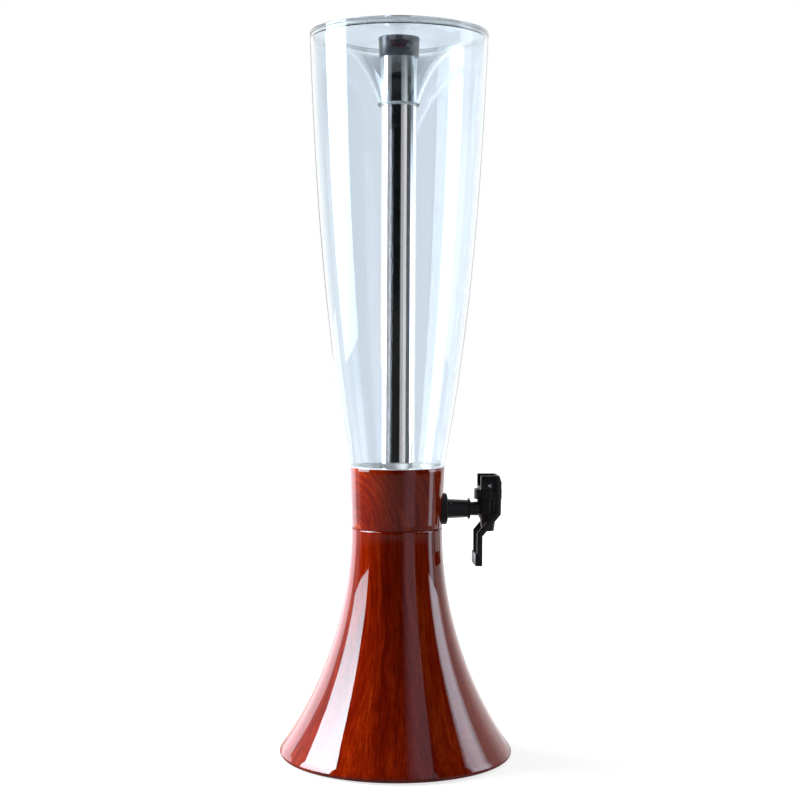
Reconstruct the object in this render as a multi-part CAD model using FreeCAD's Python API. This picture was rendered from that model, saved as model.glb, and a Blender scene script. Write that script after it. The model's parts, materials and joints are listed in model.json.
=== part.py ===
import FreeCAD, Part
import math
import os

# Table-top drink tower: a bell-shaped base, a collar, a clear vessel with a dished lid,
# a steel ice tube down its middle, and a self-closing tap on the collar.
# Millimetres, +Z up. The origin is the centre of the base on the surface it stands on,
# and the tap points along +X.

# Gaps between pieces
slip_gap = 0.3            # curved faces of pieces that slide past or lift off
seat_gap = 0.1            # curved faces of pieces that are clamped or pressed together
running_gap = 0.06        # shaft in its bearing
rest_gap = 0.1            # flat faces that leave each other when something moves

# Base
seam_height = 205.0       # where the collar meets the base
neck_radius = 40.8
neck_edge_round = 1.5
bell_edge_height = 8.0    # where the bell runs into its lip
bell_edge_inset = 1.6
bell_top_pull = 0.325     # share of the bell's height that leaves the neck straight down
bell_foot_pull = 0.325    # the same share above the lip
bell_foot_reach = 0.713   # share of the bell's spread that is inside its last stretch
lip_radius = 104.0
lip_round = 4.0
lip_clear = 1.0           # lip above the table
base_wall = 3.0
plate_ledge = 3.5         # width of the ledge that the base plate closes against
plate_thickness = 3.0
plate_recess = 1.2        # plate above the lip's lowest edge
plate_gap = 0.5
boss_count = 4
boss_inset = 24.0         # circle of bosses inside the lip
boss_radius = 4.5
boss_bore = 1.5
boss_bore_depth = 14.0
plate_screw_radius = 1.4
plate_screw_head = 3.0
plate_screw_head_height = 1.8
plate_screw_bite = 9.0    # how far a screw reaches above the plate
pad_count = 4
pad_inset = 22.0          # circle of pads inside the lip
pad_radius = 10.0
pad_socket_depth = 1.0
pad_edge_round = 0.6
ballast_inset = 38.0      # rim of the ballast inside the lip
ballast_inner = 24.0
ballast_thickness = 10.0
ballast_screw_count = 3
ballast_screw_radius = 2.0
ballast_screw_head = 4.0
ballast_screw_head_height = 2.2
ballast_screw_bite = 6.0

# Collar
collar_height = 54.6
collar_foot_step = 0.2    # collar's foot inside the base's neck
collar_flare = 1.9        # how much wider it is at the top
collar_edge_round = 0.7
collar_wall = 2.9         # at the foot
collar_floor_drop = 6.0   # top of the collar's floor below the seam
collar_floor_thickness = 3.5
collar_floor_hole = 18.0
spigot_wall = 2.8
spigot_depth = 16.0       # how far the collar's spigot reaches down into the base's neck
cone_rise = 4.0           # height of the cone between the collar's bore and its spigot

# Vessel
vessel_pad_thickness = 1.5
vessel_pad_inset = 2.0      # pad outside the hole in the collar's floor
vessel_pad_width = 6.0
vessel_wall = 2.5
vessel_floor_thickness = 3.0
vessel_foot_round = 9.5
vessel_shoulder_step = 0.1    # vessel's shoulder inside the collar's top
vessel_spread = 36.5      # how much wider the vessel is at its rim than at its shoulder
vessel_rise = 380.7       # rim above the collar
vessel_low_rise = 0.218   # share of the height for the curve's lower handle
vessel_low_reach = 0.393  # share of the spread for the same
vessel_high_drop = 0.527  # share of the height for the upper handle
vessel_high_reach = 0.198
vessel_inner_cone = 6.0

# Lid, a shallow trumpet whose neck grips the ice tube
lid_flange_thickness = 3.2
lid_flange_round = 0.8
lid_wall = 1.9
lid_skirt_gap = 1.8       # room for the seal between the skirt and the vessel's wall
lid_skirt_depth = 3.0
lid_depth = 61.3          # neck's foot below the rim
lid_neck_pull = (0.112, 0.427)      # handles as shares of the flare's spread and height
lid_edge_pull = (0.613, 0.034)
lid_seal_section = 2.2
neck_ring_height = 2.4
neck_ring_wall = 1.1

# Ice tube and its cap
tube_radius = 16.0
tube_wall = 0.8
tube_top_drop = 3.3       # tube's end below the vessel's rim
tube_foot_round = 5.0
tube_floor_gap = 4.0      # the tube hangs from the lid's neck, and the drink runs under it
cap_crown = 3.4           # thickness of the cap above the tube's end
cap_height = 18.6
cap_foot_wall = 1.2
cap_flare = 1.0           # how much wider the cap is at the top
cap_edge_round = 0.8
cap_plug_depth = 9.0
cap_plug_wall = 2.2
cap_seal_section = 1.4

# Tap: a shank through both walls, a body with a vertical chamber, and a lever
tap_rise = 16.1           # axis of the shank above the seam
shank_thread_radius = 8.0
shank_bore = 3.8
shank_overhang = 3.6      # thread that shows past the nut
shank_root_radius = 8.7
shank_tip_radius = 7.8
shank_sleeve_length = 18.9
shank_ring_radius = 9.4
shank_ring_width = 1.8
shank_ring_chamfer = 0.5
washer_radius = 14.0
washer_thickness = 3.84
washer_edge_round = 1.6
inner_washer_radius = 11.0
inner_washer_edge = 2.0   # its thickness at the rim, where it meets the curved wall
nut_across_flats = 22.0
nut_thickness = 6.0
nut_sides = 6
tail_radius = 5.6
tail_length = 13.0
neck_pipe_radius = 6.15
neck_pipe_length = 16.4   # from the shank's ring to the axis of the valve
tap_bore = 3.4
body_radius = 9.85
body_shoulder_rise = 8.9  # above the shank's axis
body_foot_drop = 5.3      # below the shank's axis
body_thread_length = 4.6
body_thread_step = 0.45
body_foot_round = 1.5
spout_root_radius = 7.0
spout_root_drop = 9.1
spout_tip_radius = 5.7
spout_tip_drop = 20.0
spout_bore = 3.9
spout_tip_bore = 4.5
spout_tip_bore_depth = 4.0
chamber_radius = 7.2
chamber_floor_drop = 7.6
seat_height = 0.6
seat_width = 0.9
gasket_thickness = 0.5
bonnet_wall = 2.85        # outside the thread
bonnet_height = 8.95
bonnet_foot_gap = 0.1
bonnet_edge_round = 0.6
bonnet_groove_count = 28
bonnet_groove_radius = 0.7
bonnet_groove_depth = 0.35
bonnet_groove_margin = 1.2

# Valve
stem_radius = 3.2
stem_top_over_pin = 3.6
stem_stub_radius = 2.0
stem_stub_length = 2.4
stem_flange_radius = 5.2
stem_flange_thickness = 1.5
plug_radius = 5.4
plug_thickness = 3.4
plug_tip_radius = 2.6
plug_tip_depth = 2.0
plug_chamfer = 0.6
stem_seal_width = 1.54
stem_seal_thickness = 1.5
spring_wire = 0.8
spring_clear = 1.0        # coil outside the stem
spring_turns = 6.0

# Lever, a bail whose two arms straddle the tap
pin_rise = 3.5            # pin above the bonnet
pin_radius = 1.6
pin_proud = 0.3
lever_arm_gap = 0.65      # inner face of each arm outside the bonnet
lever_arm_thickness = 2.4
lever_cheek_step = 1.6    # head's side outside the inner face of an arm
head_back = 8.1           # behind the valve's axis
head_heel = 10.3          # before the valve's axis, the edge that rolls on the bonnet
head_height = 12.45
head_brow_drop = 5.6
head_brow_depth = 1.8
head_edge_round = 0.8
head_slot_gap = 0.5       # head's slot outside the stem
head_slot_half_length = 4.9
head_slot_roof = 3.2
arm_width = 5.1
arm_front_step = 0.5      # front of an arm behind the heel
arm_knee_drop = 3.9       # below the shank's axis, where the front edge turns back
arm_back_knee_drop = 1.3
grip_setback = 6.5        # front edge of the grip behind the valve's axis
grip_width = 4.8
grip_knee_drop = 3.5      # below the spout's tip
grip_back_knee_drop = 0.5
grip_drop = 50.0          # foot of the grip below the shank's axis
arm_corner_round = 1.2
grip_pad_height = 10.8
grip_pad_proud = 1.3
grip_pad_thickness = 3.0
grip_pad_round = 0.7

# Sizes that follow from those above
whole_turn = 360.0
plate_foot = lip_clear + plate_recess
plate_top = plate_foot + plate_thickness
plate_screw_length = plate_thickness + plate_screw_bite
boss_circle = lip_radius - boss_inset
pad_circle = lip_radius - pad_inset
ballast_outer = lip_radius - ballast_inset
ballast_screw_circle = (ballast_outer + ballast_inner) / 2
collar_top_height = seam_height + collar_height
collar_foot_radius = neck_radius - collar_foot_step
collar_top_radius = collar_foot_radius + collar_flare
collar_bore = collar_foot_radius - collar_wall
collar_floor_top = seam_height - collar_floor_drop
collar_foot = collar_floor_top - collar_floor_thickness
spigot_foot = seam_height - spigot_depth
spigot_radius = neck_radius - base_wall - slip_gap
vessel_pad_inner = collar_floor_hole + vessel_pad_inset
vessel_pad_outer = vessel_pad_inner + vessel_pad_width
vessel_foot = collar_floor_top + vessel_pad_thickness
vessel_floor = vessel_foot + vessel_floor_thickness
vessel_foot_radius = collar_bore - slip_gap
vessel_lower_bore = vessel_foot_radius - vessel_wall
vessel_shoulder_radius = collar_top_radius - vessel_shoulder_step
vessel_rim_radius = vessel_shoulder_radius + vessel_spread
vessel_rim_height = collar_top_height + vessel_rise
lid_top_height = vessel_rim_height + lid_flange_thickness
lid_skirt_radius = vessel_rim_radius - vessel_wall - lid_skirt_gap
lid_neck_foot = vessel_rim_height - lid_depth
lid_bore = tube_radius + slip_gap
tube_top_height = vessel_rim_height - tube_top_drop
cap_ceiling = tube_top_height + slip_gap
cap_top_height = cap_ceiling + cap_crown
cap_foot_height = cap_top_height - cap_height
cap_foot_radius = tube_radius + slip_gap + cap_foot_wall
cap_top_radius = cap_foot_radius + cap_flare
tap_height = seam_height + tap_rise
collar_at_tap = collar_foot_radius + collar_flare * tap_rise / collar_height
washer_face_reach = collar_at_tap + washer_thickness
shank_tip_reach = washer_face_reach + shank_sleeve_length
shank_ring_end = shank_tip_reach + shank_ring_width
valve_reach = shank_ring_end + neck_pipe_length
inner_washer_back = math.sqrt(vessel_lower_bore ** 2 - inner_washer_radius ** 2)
nut_face = inner_washer_back - inner_washer_edge
shank_inner_end = nut_face - nut_thickness - shank_overhang
body_shoulder_height = tap_height + body_shoulder_rise
body_foot_height = tap_height - body_foot_drop
body_top_height = body_shoulder_height + body_thread_length
body_thread_radius = body_radius - body_thread_step
spout_root_height = tap_height - spout_root_drop
spout_tip_height = tap_height - spout_tip_drop
chamber_floor = tap_height - chamber_floor_drop
bonnet_thread_radius = body_thread_radius + slip_gap
bonnet_radius = bonnet_thread_radius + bonnet_wall
bonnet_foot = body_shoulder_height + bonnet_foot_gap
bonnet_top = bonnet_foot + bonnet_height
bonnet_ceiling = body_top_height + gasket_thickness
seat_face = chamber_floor + seat_height
plug_top = seat_face + plug_thickness
flange_top = plug_top + stem_flange_thickness
stem_bore = stem_radius + running_gap
stem_seal_outer = stem_bore + stem_seal_width
spring_mean_radius = stem_radius + spring_clear + spring_wire / 2
pin_height = bonnet_top + pin_rise
lever_arm_inner = bonnet_radius + lever_arm_gap
lever_cheek_half = lever_arm_inner + lever_cheek_step
head_foot = bonnet_top + rest_gap
head_top = head_foot + head_height
head_brow_height = head_top - head_brow_drop
head_back_reach = valve_reach - head_back
head_heel_reach = valve_reach + head_heel
head_brow_reach = head_heel_reach - head_brow_depth
arm_front = head_heel_reach - arm_front_step
arm_back = arm_front - arm_width
arm_knee_height = tap_height - arm_knee_drop
arm_back_knee = tap_height - arm_back_knee_drop
grip_front = valve_reach - grip_setback
grip_back = grip_front - grip_width
grip_front_knee = spout_tip_height - grip_knee_drop
grip_back_knee = spout_tip_height - grip_back_knee_drop
grip_foot = tap_height - grip_drop
grip_pad_face = grip_back - grip_pad_proud

UP = FreeCAD.Vector(0, 0, 1)
OUT = FreeCAD.Vector(1, 0, 0)
ACROSS = FreeCAD.Vector(0, 1, 0)
ORIGIN = FreeCAD.Vector(0, 0, 0)


def point(radius, height):
    return FreeCAD.Vector(radius, 0, height)


def line(start, end):
    return Part.LineSegment(start, end).toShape()


def curve(poles):
    bezier = Part.BezierCurve()
    bezier.setPoles(poles)
    return bezier.toShape()


def corner_arc(start, end, centre):
    """Quarter-like arc from start to end, bulging away from centre."""
    radius = (start - centre).Length
    toward = (start - centre) + (end - centre)
    middle = centre + toward.multiply(radius / toward.Length)
    return Part.Arc(start, middle, end).toShape()


def joined(pieces):
    """Edges in order, with each FreeCAD.Vector in the list reached by a straight line."""
    edges = []
    first = None
    last = None
    for piece in pieces:
        start = piece if isinstance(piece, FreeCAD.Vector) else piece.firstVertex(True).Point
        end = piece if isinstance(piece, FreeCAD.Vector) else piece.lastVertex(True).Point
        if last is not None and (start - last).Length > Part.Precision.confusion():
            edges.append(line(last, start))
        if not isinstance(piece, FreeCAD.Vector):
            edges.append(piece)
        if first is None:
            first = start
        last = end
    if (last - first).Length > Part.Precision.confusion():
        edges.append(line(last, first))
    return Part.Wire(edges)


def spun(pieces, base=ORIGIN, axis=UP):
    """Solid of revolution of a closed profile."""
    return Part.Face(joined(pieces)).revolve(base, axis, whole_turn)


def outline(points):
    """Profile points given as radius and height."""
    return [point(radius, height) for radius, height in points]


def pushed(points, depth, start):
    """Prism of an outline in the X-Z plane, from y = start over the given depth."""
    wire = joined(outline(points))
    wire.translate(ACROSS * start)
    return Part.Face(wire).extrude(ACROSS * depth)


def disc(radius, foot, top, x=0.0, y=0.0):
    return Part.makeCylinder(radius, top - foot, FreeCAD.Vector(x, y, foot), UP)


def ring(outer, inner, foot, top, x=0.0, y=0.0):
    return disc(outer, foot, top, x, y).cut(disc(inner, foot, top, x, y))


def bar_out(radius, start, end):
    """Cylinder on the shank's axis."""
    return Part.makeCylinder(radius, end - start, FreeCAD.Vector(start, 0, tap_height), OUT)


def spots(count, circle, turn=0.0):
    """Centres of a ring of features."""
    places = []
    for index in range(count):
        angle = math.radians(turn + whole_turn * index / count)
        places.append((circle * math.cos(angle), circle * math.sin(angle)))
    return places


def inset(poles, wall):
    """Poles of the curve that lies one wall inside a curve drawn upwards."""
    moved = []
    for index, pole in enumerate(poles):
        before = poles[max(index - 1, 0)]
        after = poles[min(index + 1, len(poles) - 1)]
        along = after - before
        along.normalize()
        moved.append(pole + point(-along.z, along.x) * wall)
    return moved


def edges_round(solid, radius, wanted):
    """Round the edges that the test picks."""
    return solid.makeFillet(radius, [edge for edge in solid.Edges if wanted(edge)])


def flat_edge_at(height, radius):
    """Test for the circular edge at a height and a radius about any upright axis."""
    def test(edge):
        curve_here = edge.Curve
        if not isinstance(curve_here, Part.Circle):
            return False
        level = abs(curve_here.Center.z - height) < seat_gap / 2
        size = abs(curve_here.Radius - radius) < seat_gap / 2
        return level and size
    return test


def runs_across(edge):
    """Straight edges that run along Y."""
    if not isinstance(edge.Curve, Part.Line):
        return False
    return abs(edge.Curve.Direction.y) > 1 - seat_gap / 2


# Base

def bell_poles():
    top = seam_height - neck_edge_round
    height = top - bell_edge_height
    foot_radius = lip_radius - bell_edge_inset
    spread = foot_radius - neck_radius
    return [
        point(foot_radius, bell_edge_height),
        point(foot_radius - spread * bell_foot_reach, bell_edge_height + height * bell_foot_pull),
        point(neck_radius, top - height * bell_top_pull),
        point(neck_radius, top),
    ]


def bell_solid():
    """The bell's outside, filled."""
    poles = bell_poles()
    lip_centre = point(lip_radius - lip_round, lip_clear + lip_round)
    lip_top = poles[0]
    lip_side = lip_centre + point(lip_round, 0)
    lip_foot = lip_centre - point(0, lip_round)
    edge_centre = point(neck_radius - neck_edge_round, seam_height - neck_edge_round)
    return spun([
        point(0, lip_clear),
        lip_foot,
        corner_arc(lip_foot, lip_side, lip_centre),
        lip_top,
        curve(poles),
        corner_arc(poles[-1], edge_centre + point(0, neck_edge_round), edge_centre),
        point(0, seam_height),
    ])


def bell_hollow():
    """The space inside the bell, from the plate's ledge to the top of the neck."""
    poles = inset(bell_poles(), base_wall)
    ledge_radius = lip_radius - lip_round - plate_ledge
    return spun([
        point(0, plate_top),
        point(ledge_radius, plate_top),
        poles[0],
        curve(poles),
        point(poles[-1].x, seam_height),
        point(0, seam_height),
    ])


def plate_radius():
    return lip_radius - lip_round


def base_shell():
    outside = bell_solid()
    shell = outside.cut(bell_hollow())
    shell = shell.cut(disc(plate_radius(), lip_clear, plate_top))
    for x, y in spots(boss_count, boss_circle, whole_turn / boss_count / 2):
        boss = disc(boss_radius, plate_top, seam_height, x, y).common(outside)
        bore = disc(boss_bore, plate_top, plate_top + boss_bore_depth, x, y)
        shell = shell.fuse(boss).cut(bore)
    return shell.removeSplitter()


def countersink(radius, head_radius, head_height, foot, x, y):
    """Space of a screw's cone-shaped head, with its mouth downwards."""
    return Part.makeCone(head_radius, radius, head_height, FreeCAD.Vector(x, y, foot), UP)


def base_plate():
    plate = disc(plate_radius() - plate_gap, plate_foot, plate_top)
    for x, y in spots(boss_count, boss_circle, whole_turn / boss_count / 2):
        plate = plate.cut(disc(plate_screw_radius + seat_gap, plate_foot, plate_top, x, y))
        plate = plate.cut(countersink(
            plate_screw_radius + seat_gap, plate_screw_head + seat_gap, plate_screw_head_height,
            plate_foot, x, y))
    for x, y in spots(ballast_screw_count, ballast_screw_circle):
        plate = plate.cut(disc(ballast_screw_radius + seat_gap, plate_foot, plate_top, x, y))
        plate = plate.cut(countersink(
            ballast_screw_radius + seat_gap, ballast_screw_head + seat_gap,
            ballast_screw_head_height, plate_foot, x, y))
    for x, y in spots(pad_count, pad_circle):
        plate = plate.cut(disc(pad_radius + seat_gap, plate_foot, plate_foot + pad_socket_depth, x, y))
    return plate


def screws(places, radius, head_radius, head_height, length):
    """Countersunk screws driven upwards from the plate's underside."""
    bodies = []
    for x, y in places:
        head = countersink(radius, head_radius, head_height, plate_foot, x, y)
        shaft = disc(radius, plate_foot + head_height, plate_foot + length, x, y)
        bodies.append(head.fuse(shaft).removeSplitter())
    return Part.makeCompound(bodies)


def plate_screws():
    places = spots(boss_count, boss_circle, whole_turn / boss_count / 2)
    return screws(places, plate_screw_radius, plate_screw_head, plate_screw_head_height,
                  plate_screw_length)


def ballast_screws():
    places = spots(ballast_screw_count, ballast_screw_circle)
    return screws(places, ballast_screw_radius, ballast_screw_head, ballast_screw_head_height,
                  plate_thickness + ballast_screw_bite)


def foot_pads():
    bodies = []
    for x, y in spots(pad_count, pad_circle):
        pad = disc(pad_radius, 0, plate_foot + pad_socket_depth, x, y)
        bodies.append(edges_round(pad, pad_edge_round, flat_edge_at(0, pad_radius)))
    return Part.makeCompound(bodies)


def ballast():
    block = ring(ballast_outer, ballast_inner, plate_top, plate_top + ballast_thickness)
    for x, y in spots(ballast_screw_count, ballast_screw_circle):
        block = block.cut(disc(
            ballast_screw_radius + seat_gap, plate_top, plate_top + ballast_screw_bite + 1, x, y))
    return block


# Collar and vessel

def shank_hole():
    """Clearance hole for the shank through the front walls only."""
    return bar_out(shank_thread_radius + seat_gap, shank_inner_end, washer_face_reach)


def collar():
    spigot_bore = spigot_radius - spigot_wall
    cone_foot = seam_height - cone_rise / 2
    body = spun(outline([
        (collar_floor_hole, collar_foot),
        (spigot_bore, collar_foot),
        (spigot_bore, spigot_foot),
        (spigot_radius, spigot_foot),
        (spigot_radius, seam_height),
        (collar_foot_radius - collar_edge_round, seam_height),
        (collar_foot_radius, seam_height + collar_edge_round),
        (collar_top_radius, collar_top_height),
        (collar_bore, collar_top_height),
        (collar_bore, cone_foot + cone_rise),
        (spigot_bore, cone_foot),
        (spigot_bore, collar_floor_top),
        (collar_floor_hole, collar_floor_top),
    ]))
    body = edges_round(body, collar_edge_round, flat_edge_at(collar_top_height, collar_top_radius))
    return body.cut(shank_hole())


def vessel_pad():
    return ring(vessel_pad_outer, vessel_pad_inner, collar_floor_top, vessel_foot)


def vessel_poles():
    return [
        point(vessel_shoulder_radius, collar_top_height),
        point(vessel_shoulder_radius + vessel_spread * vessel_low_reach,
              collar_top_height + vessel_rise * vessel_low_rise),
        point(vessel_rim_radius - vessel_spread * vessel_high_reach,
              vessel_rim_height - vessel_rise * vessel_high_drop),
        point(vessel_rim_radius, vessel_rim_height),
    ]


def vessel():
    outer = vessel_poles()
    inner = inset(outer, vessel_wall)
    inner[-1] = point(inner[-1].x, vessel_rim_height)
    foot_centre = point(vessel_foot_radius - vessel_foot_round, vessel_foot + vessel_foot_round)
    floor_round = vessel_foot_round - vessel_wall
    floor_centre = point(vessel_lower_bore - floor_round, vessel_floor + floor_round)
    body = spun([
        point(0, vessel_foot),
        corner_arc(foot_centre - point(0, vessel_foot_round),
                   foot_centre + point(vessel_foot_round, 0), foot_centre),
        point(vessel_foot_radius, collar_top_height),
        curve(outer),
        curve(inner[::-1]),
        point(vessel_lower_bore, inner[0].z - vessel_inner_cone),
        corner_arc(floor_centre + point(floor_round, 0),
                   floor_centre - point(0, floor_round), floor_centre),
        point(0, vessel_floor),
    ])
    return body.cut(shank_hole())


# Lid

def flare_poles():
    """Underside of the lid's trumpet, from its neck up and out to the skirt."""
    foot = point(lid_bore + lid_wall, lid_neck_foot)
    end = point(lid_skirt_radius, vessel_rim_height - lid_skirt_depth)
    spread = end.x - foot.x
    height = end.z - foot.z
    return [
        foot,
        foot + point(spread * lid_neck_pull[0], height * lid_neck_pull[1]),
        end - point(spread * lid_edge_pull[0], height * lid_edge_pull[1]),
        end,
    ]


def lid():
    under = flare_poles()
    over = inset(under, lid_wall)
    over[0] = point(lid_bore, lid_neck_foot + neck_ring_height)
    ring_seat = lid_bore + neck_ring_wall
    body = spun([
        point(ring_seat, lid_neck_foot),
        curve(under),
        point(lid_skirt_radius, vessel_rim_height),
        point(vessel_rim_radius, vessel_rim_height),
        point(vessel_rim_radius, lid_top_height),
        point(over[-1].x, lid_top_height),
        curve(over[::-1]),
        point(ring_seat, lid_neck_foot + neck_ring_height),
    ])
    return edges_round(body, lid_flange_round, flat_edge_at(lid_top_height, vessel_rim_radius))


def lid_seal():
    """Soft ring on the lid's skirt, just inside the vessel's rim."""
    wall_here = vessel_rim_radius - vessel_wall
    foot = vessel_rim_height - lid_seal_section
    return ring(wall_here - slip_gap, lid_skirt_radius + seat_gap, foot, vessel_rim_height)


def neck_ring():
    """Soft ring let into the foot of the lid's neck, round the ice tube."""
    return ring(lid_bore + neck_ring_wall - seat_gap, tube_radius + seat_gap,
                lid_neck_foot, lid_neck_foot + neck_ring_height)


# Ice tube

def ice_tube():
    foot = vessel_floor + tube_floor_gap
    inside = tube_radius - tube_wall
    floor = foot + tube_wall
    inside_round = tube_foot_round - tube_wall
    outer_centre = point(tube_radius - tube_foot_round, foot + tube_foot_round)
    return spun([
        point(0, foot),
        corner_arc(outer_centre - point(0, tube_foot_round),
                   outer_centre + point(tube_foot_round, 0), outer_centre),
        point(tube_radius, tube_top_height),
        point(inside, tube_top_height),
        corner_arc(outer_centre + point(inside_round, 0),
                   outer_centre - point(0, inside_round), outer_centre),
        point(0, floor),
    ])


def tube_cap():
    skirt_bore = tube_radius + slip_gap
    plug_radius_here = tube_radius - tube_wall - slip_gap
    plug_foot = cap_ceiling - cap_plug_depth
    groove_foot = plug_foot + cap_seal_section
    groove_top = groove_foot + cap_seal_section
    groove_radius = plug_radius_here - cap_seal_section + slip_gap / 2
    body = spun(outline([
        (0, cap_ceiling),
        (plug_radius_here - cap_plug_wall, cap_ceiling),
        (plug_radius_here - cap_plug_wall, plug_foot),
        (plug_radius_here, plug_foot),
        (plug_radius_here, groove_foot),
        (groove_radius, groove_foot),
        (groove_radius, groove_top),
        (plug_radius_here, groove_top),
        (plug_radius_here, cap_ceiling),
        (skirt_bore, cap_ceiling),
        (skirt_bore, cap_foot_height),
        (cap_foot_radius, cap_foot_height),
        (cap_top_radius, cap_top_height),
        (0, cap_top_height),
    ]))
    return edges_round(body, cap_edge_round, flat_edge_at(cap_top_height, cap_top_radius))


def cap_seal():
    plug_radius_here = tube_radius - tube_wall - slip_gap
    foot = cap_ceiling - cap_plug_depth + cap_seal_section
    inner = plug_radius_here - cap_seal_section + slip_gap / 2
    return ring(tube_radius - tube_wall - seat_gap, inner + seat_gap / 2,
                foot + seat_gap / 2, foot + cap_seal_section - seat_gap / 2)


# Tap

def washer_outer():
    """Thick washer, hollowed on its back to sit on the collar."""
    pad = bar_out(washer_radius, collar_foot_radius - washer_radius / 2, washer_face_reach)
    front = [edge for edge in pad.Edges if abs(edge.CenterOfMass.x - washer_face_reach) < seat_gap]
    pad = pad.makeFillet(washer_edge_round, front)
    slope = collar_flare / collar_height
    below = tap_height - 2 * washer_radius
    above = tap_height + 2 * washer_radius
    low = collar_at_tap - slope * 2 * washer_radius + seat_gap
    high = collar_at_tap + slope * 2 * washer_radius + seat_gap
    wall = Part.makeCone(low, high, above - below, FreeCAD.Vector(0, 0, below), UP)
    return pad.cut(wall).cut(bar_out(shank_thread_radius + seat_gap, 0, washer_face_reach))


def washer_inner():
    """Soft washer, rounded on its back to seal against the vessel's wall."""
    blank = bar_out(inner_washer_radius, nut_face, vessel_foot_radius)
    room = disc(vessel_lower_bore - seat_gap, vessel_floor, collar_top_height)
    hole = bar_out(shank_thread_radius + seat_gap, 0, vessel_foot_radius)
    return blank.common(room).cut(hole)


def tap_nut():
    corner = nut_across_flats / 2 / math.cos(math.pi / nut_sides)
    start = FreeCAD.Vector(nut_face - nut_thickness, 0, tap_height)
    corners = []
    for index in range(nut_sides + 1):
        angle = math.radians(whole_turn * index / nut_sides)
        corners.append(start + FreeCAD.Vector(0, corner * math.cos(angle), corner * math.sin(angle)))
    blank = Part.Face(Part.makePolygon(corners)).extrude(OUT * nut_thickness)
    return blank.cut(bar_out(shank_thread_radius + seat_gap, 0, nut_face))


def tap_shank():
    """Threaded tube through both walls, with a tapered sleeve and an end ring outside."""
    socket_foot = shank_ring_end - tail_length
    chamfer = shank_ring_chamfer
    profile = [
        (shank_bore, shank_inner_end),
        (shank_thread_radius, shank_inner_end),
        (shank_thread_radius, washer_face_reach),
        (shank_root_radius, washer_face_reach),
        (shank_tip_radius, shank_tip_reach),
        (shank_ring_radius - chamfer, shank_tip_reach),
        (shank_ring_radius, shank_tip_reach + chamfer),
        (shank_ring_radius, shank_ring_end - chamfer),
        (shank_ring_radius - chamfer, shank_ring_end),
        (tail_radius + seat_gap, shank_ring_end),
        (tail_radius + seat_gap, socket_foot),
        (shank_bore, socket_foot),
    ]
    points = [FreeCAD.Vector(reach, 0, tap_height + radius) for radius, reach in profile]
    return spun(points, FreeCAD.Vector(0, 0, tap_height), OUT)


def on_valve_axis(solid):
    solid.translate(OUT * valve_reach)
    return solid


def tap_body():
    barrel = spun(outline([
        (0, spout_tip_height),
        (spout_tip_radius, spout_tip_height),
        (spout_root_radius, spout_root_height),
        (body_radius, body_foot_height),
        (body_radius, body_shoulder_height),
        (body_thread_radius, body_shoulder_height),
        (body_thread_radius, body_top_height),
        (0, body_top_height),
    ]))
    barrel = edges_round(barrel, body_foot_round, flat_edge_at(body_foot_height, body_radius))
    barrel = on_valve_axis(barrel)
    barrel = barrel.fuse(bar_out(neck_pipe_radius, shank_ring_end, valve_reach))
    barrel = barrel.fuse(bar_out(tail_radius, shank_ring_end - tail_length + seat_gap, valve_reach))
    widening = spout_tip_height + spout_tip_bore_depth
    hollow = spun(outline([
        (0, spout_tip_height),
        (spout_tip_bore, spout_tip_height),
        (spout_bore, widening),
        (spout_bore, seat_face),
        (spout_bore + seat_width, seat_face),
        (spout_bore + seat_width, chamber_floor),
        (chamber_radius, chamber_floor),
        (chamber_radius, body_top_height),
        (0, body_top_height),
    ]))
    barrel = barrel.cut(on_valve_axis(hollow))
    return barrel.cut(bar_out(tap_bore, 0, valve_reach)).removeSplitter()


def bonnet_gasket():
    return ring(body_thread_radius - seat_gap, chamber_radius, body_top_height, bonnet_ceiling,
                valve_reach)


def bonnet():
    """Ribbed ring nut that closes the chamber and guides the stem."""
    cap = disc(bonnet_radius, bonnet_foot, bonnet_top)
    cap = edges_round(cap, bonnet_edge_round, flat_edge_at(bonnet_top, bonnet_radius))
    grooves = []
    circle = bonnet_radius + bonnet_groove_radius - bonnet_groove_depth
    for x, y in spots(bonnet_groove_count, circle):
        grooves.append(disc(
            bonnet_groove_radius, bonnet_foot + bonnet_groove_margin,
            bonnet_top - bonnet_groove_margin, x, y))
    cap = cap.cut(grooves)
    cap = cap.cut(disc(bonnet_thread_radius, bonnet_foot, bonnet_ceiling))
    cap = cap.cut(disc(stem_bore, bonnet_foot, bonnet_top))
    gland = disc(stem_seal_outer + seat_gap, bonnet_ceiling, bonnet_ceiling + stem_seal_thickness)
    return on_valve_axis(cap.cut(gland))


def stem_seal():
    return ring(stem_seal_outer, stem_bore, bonnet_ceiling,
                bonnet_ceiling + stem_seal_thickness, valve_reach)


def stem():
    body = spun(outline([
        (0, plug_top - stem_stub_length),
        (stem_stub_radius, plug_top - stem_stub_length),
        (stem_stub_radius, plug_top),
        (stem_flange_radius, plug_top),
        (stem_flange_radius, flange_top),
        (stem_radius, flange_top),
        (stem_radius, pin_height + stem_top_over_pin),
        (0, pin_height + stem_top_over_pin),
    ]))
    return on_valve_axis(body).cut(pin_bar(pin_radius + running_gap, stem_radius * 2))


def valve_plug():
    """Soft plug on the stem's foot that closes the outlet."""
    stub_radius = stem_stub_radius + seat_gap / 2
    stub_foot = plug_top - stem_stub_length - seat_gap / 2
    return on_valve_axis(spun(outline([
        (0, seat_face - plug_tip_depth),
        (plug_tip_radius - plug_chamfer, seat_face - plug_tip_depth),
        (plug_tip_radius, seat_face),
        (plug_radius, seat_face),
        (plug_radius, plug_top - plug_chamfer),
        (plug_radius - plug_chamfer, plug_top),
        (stub_radius, plug_top),
        (stub_radius, stub_foot),
        (0, stub_foot),
    ])))


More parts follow.
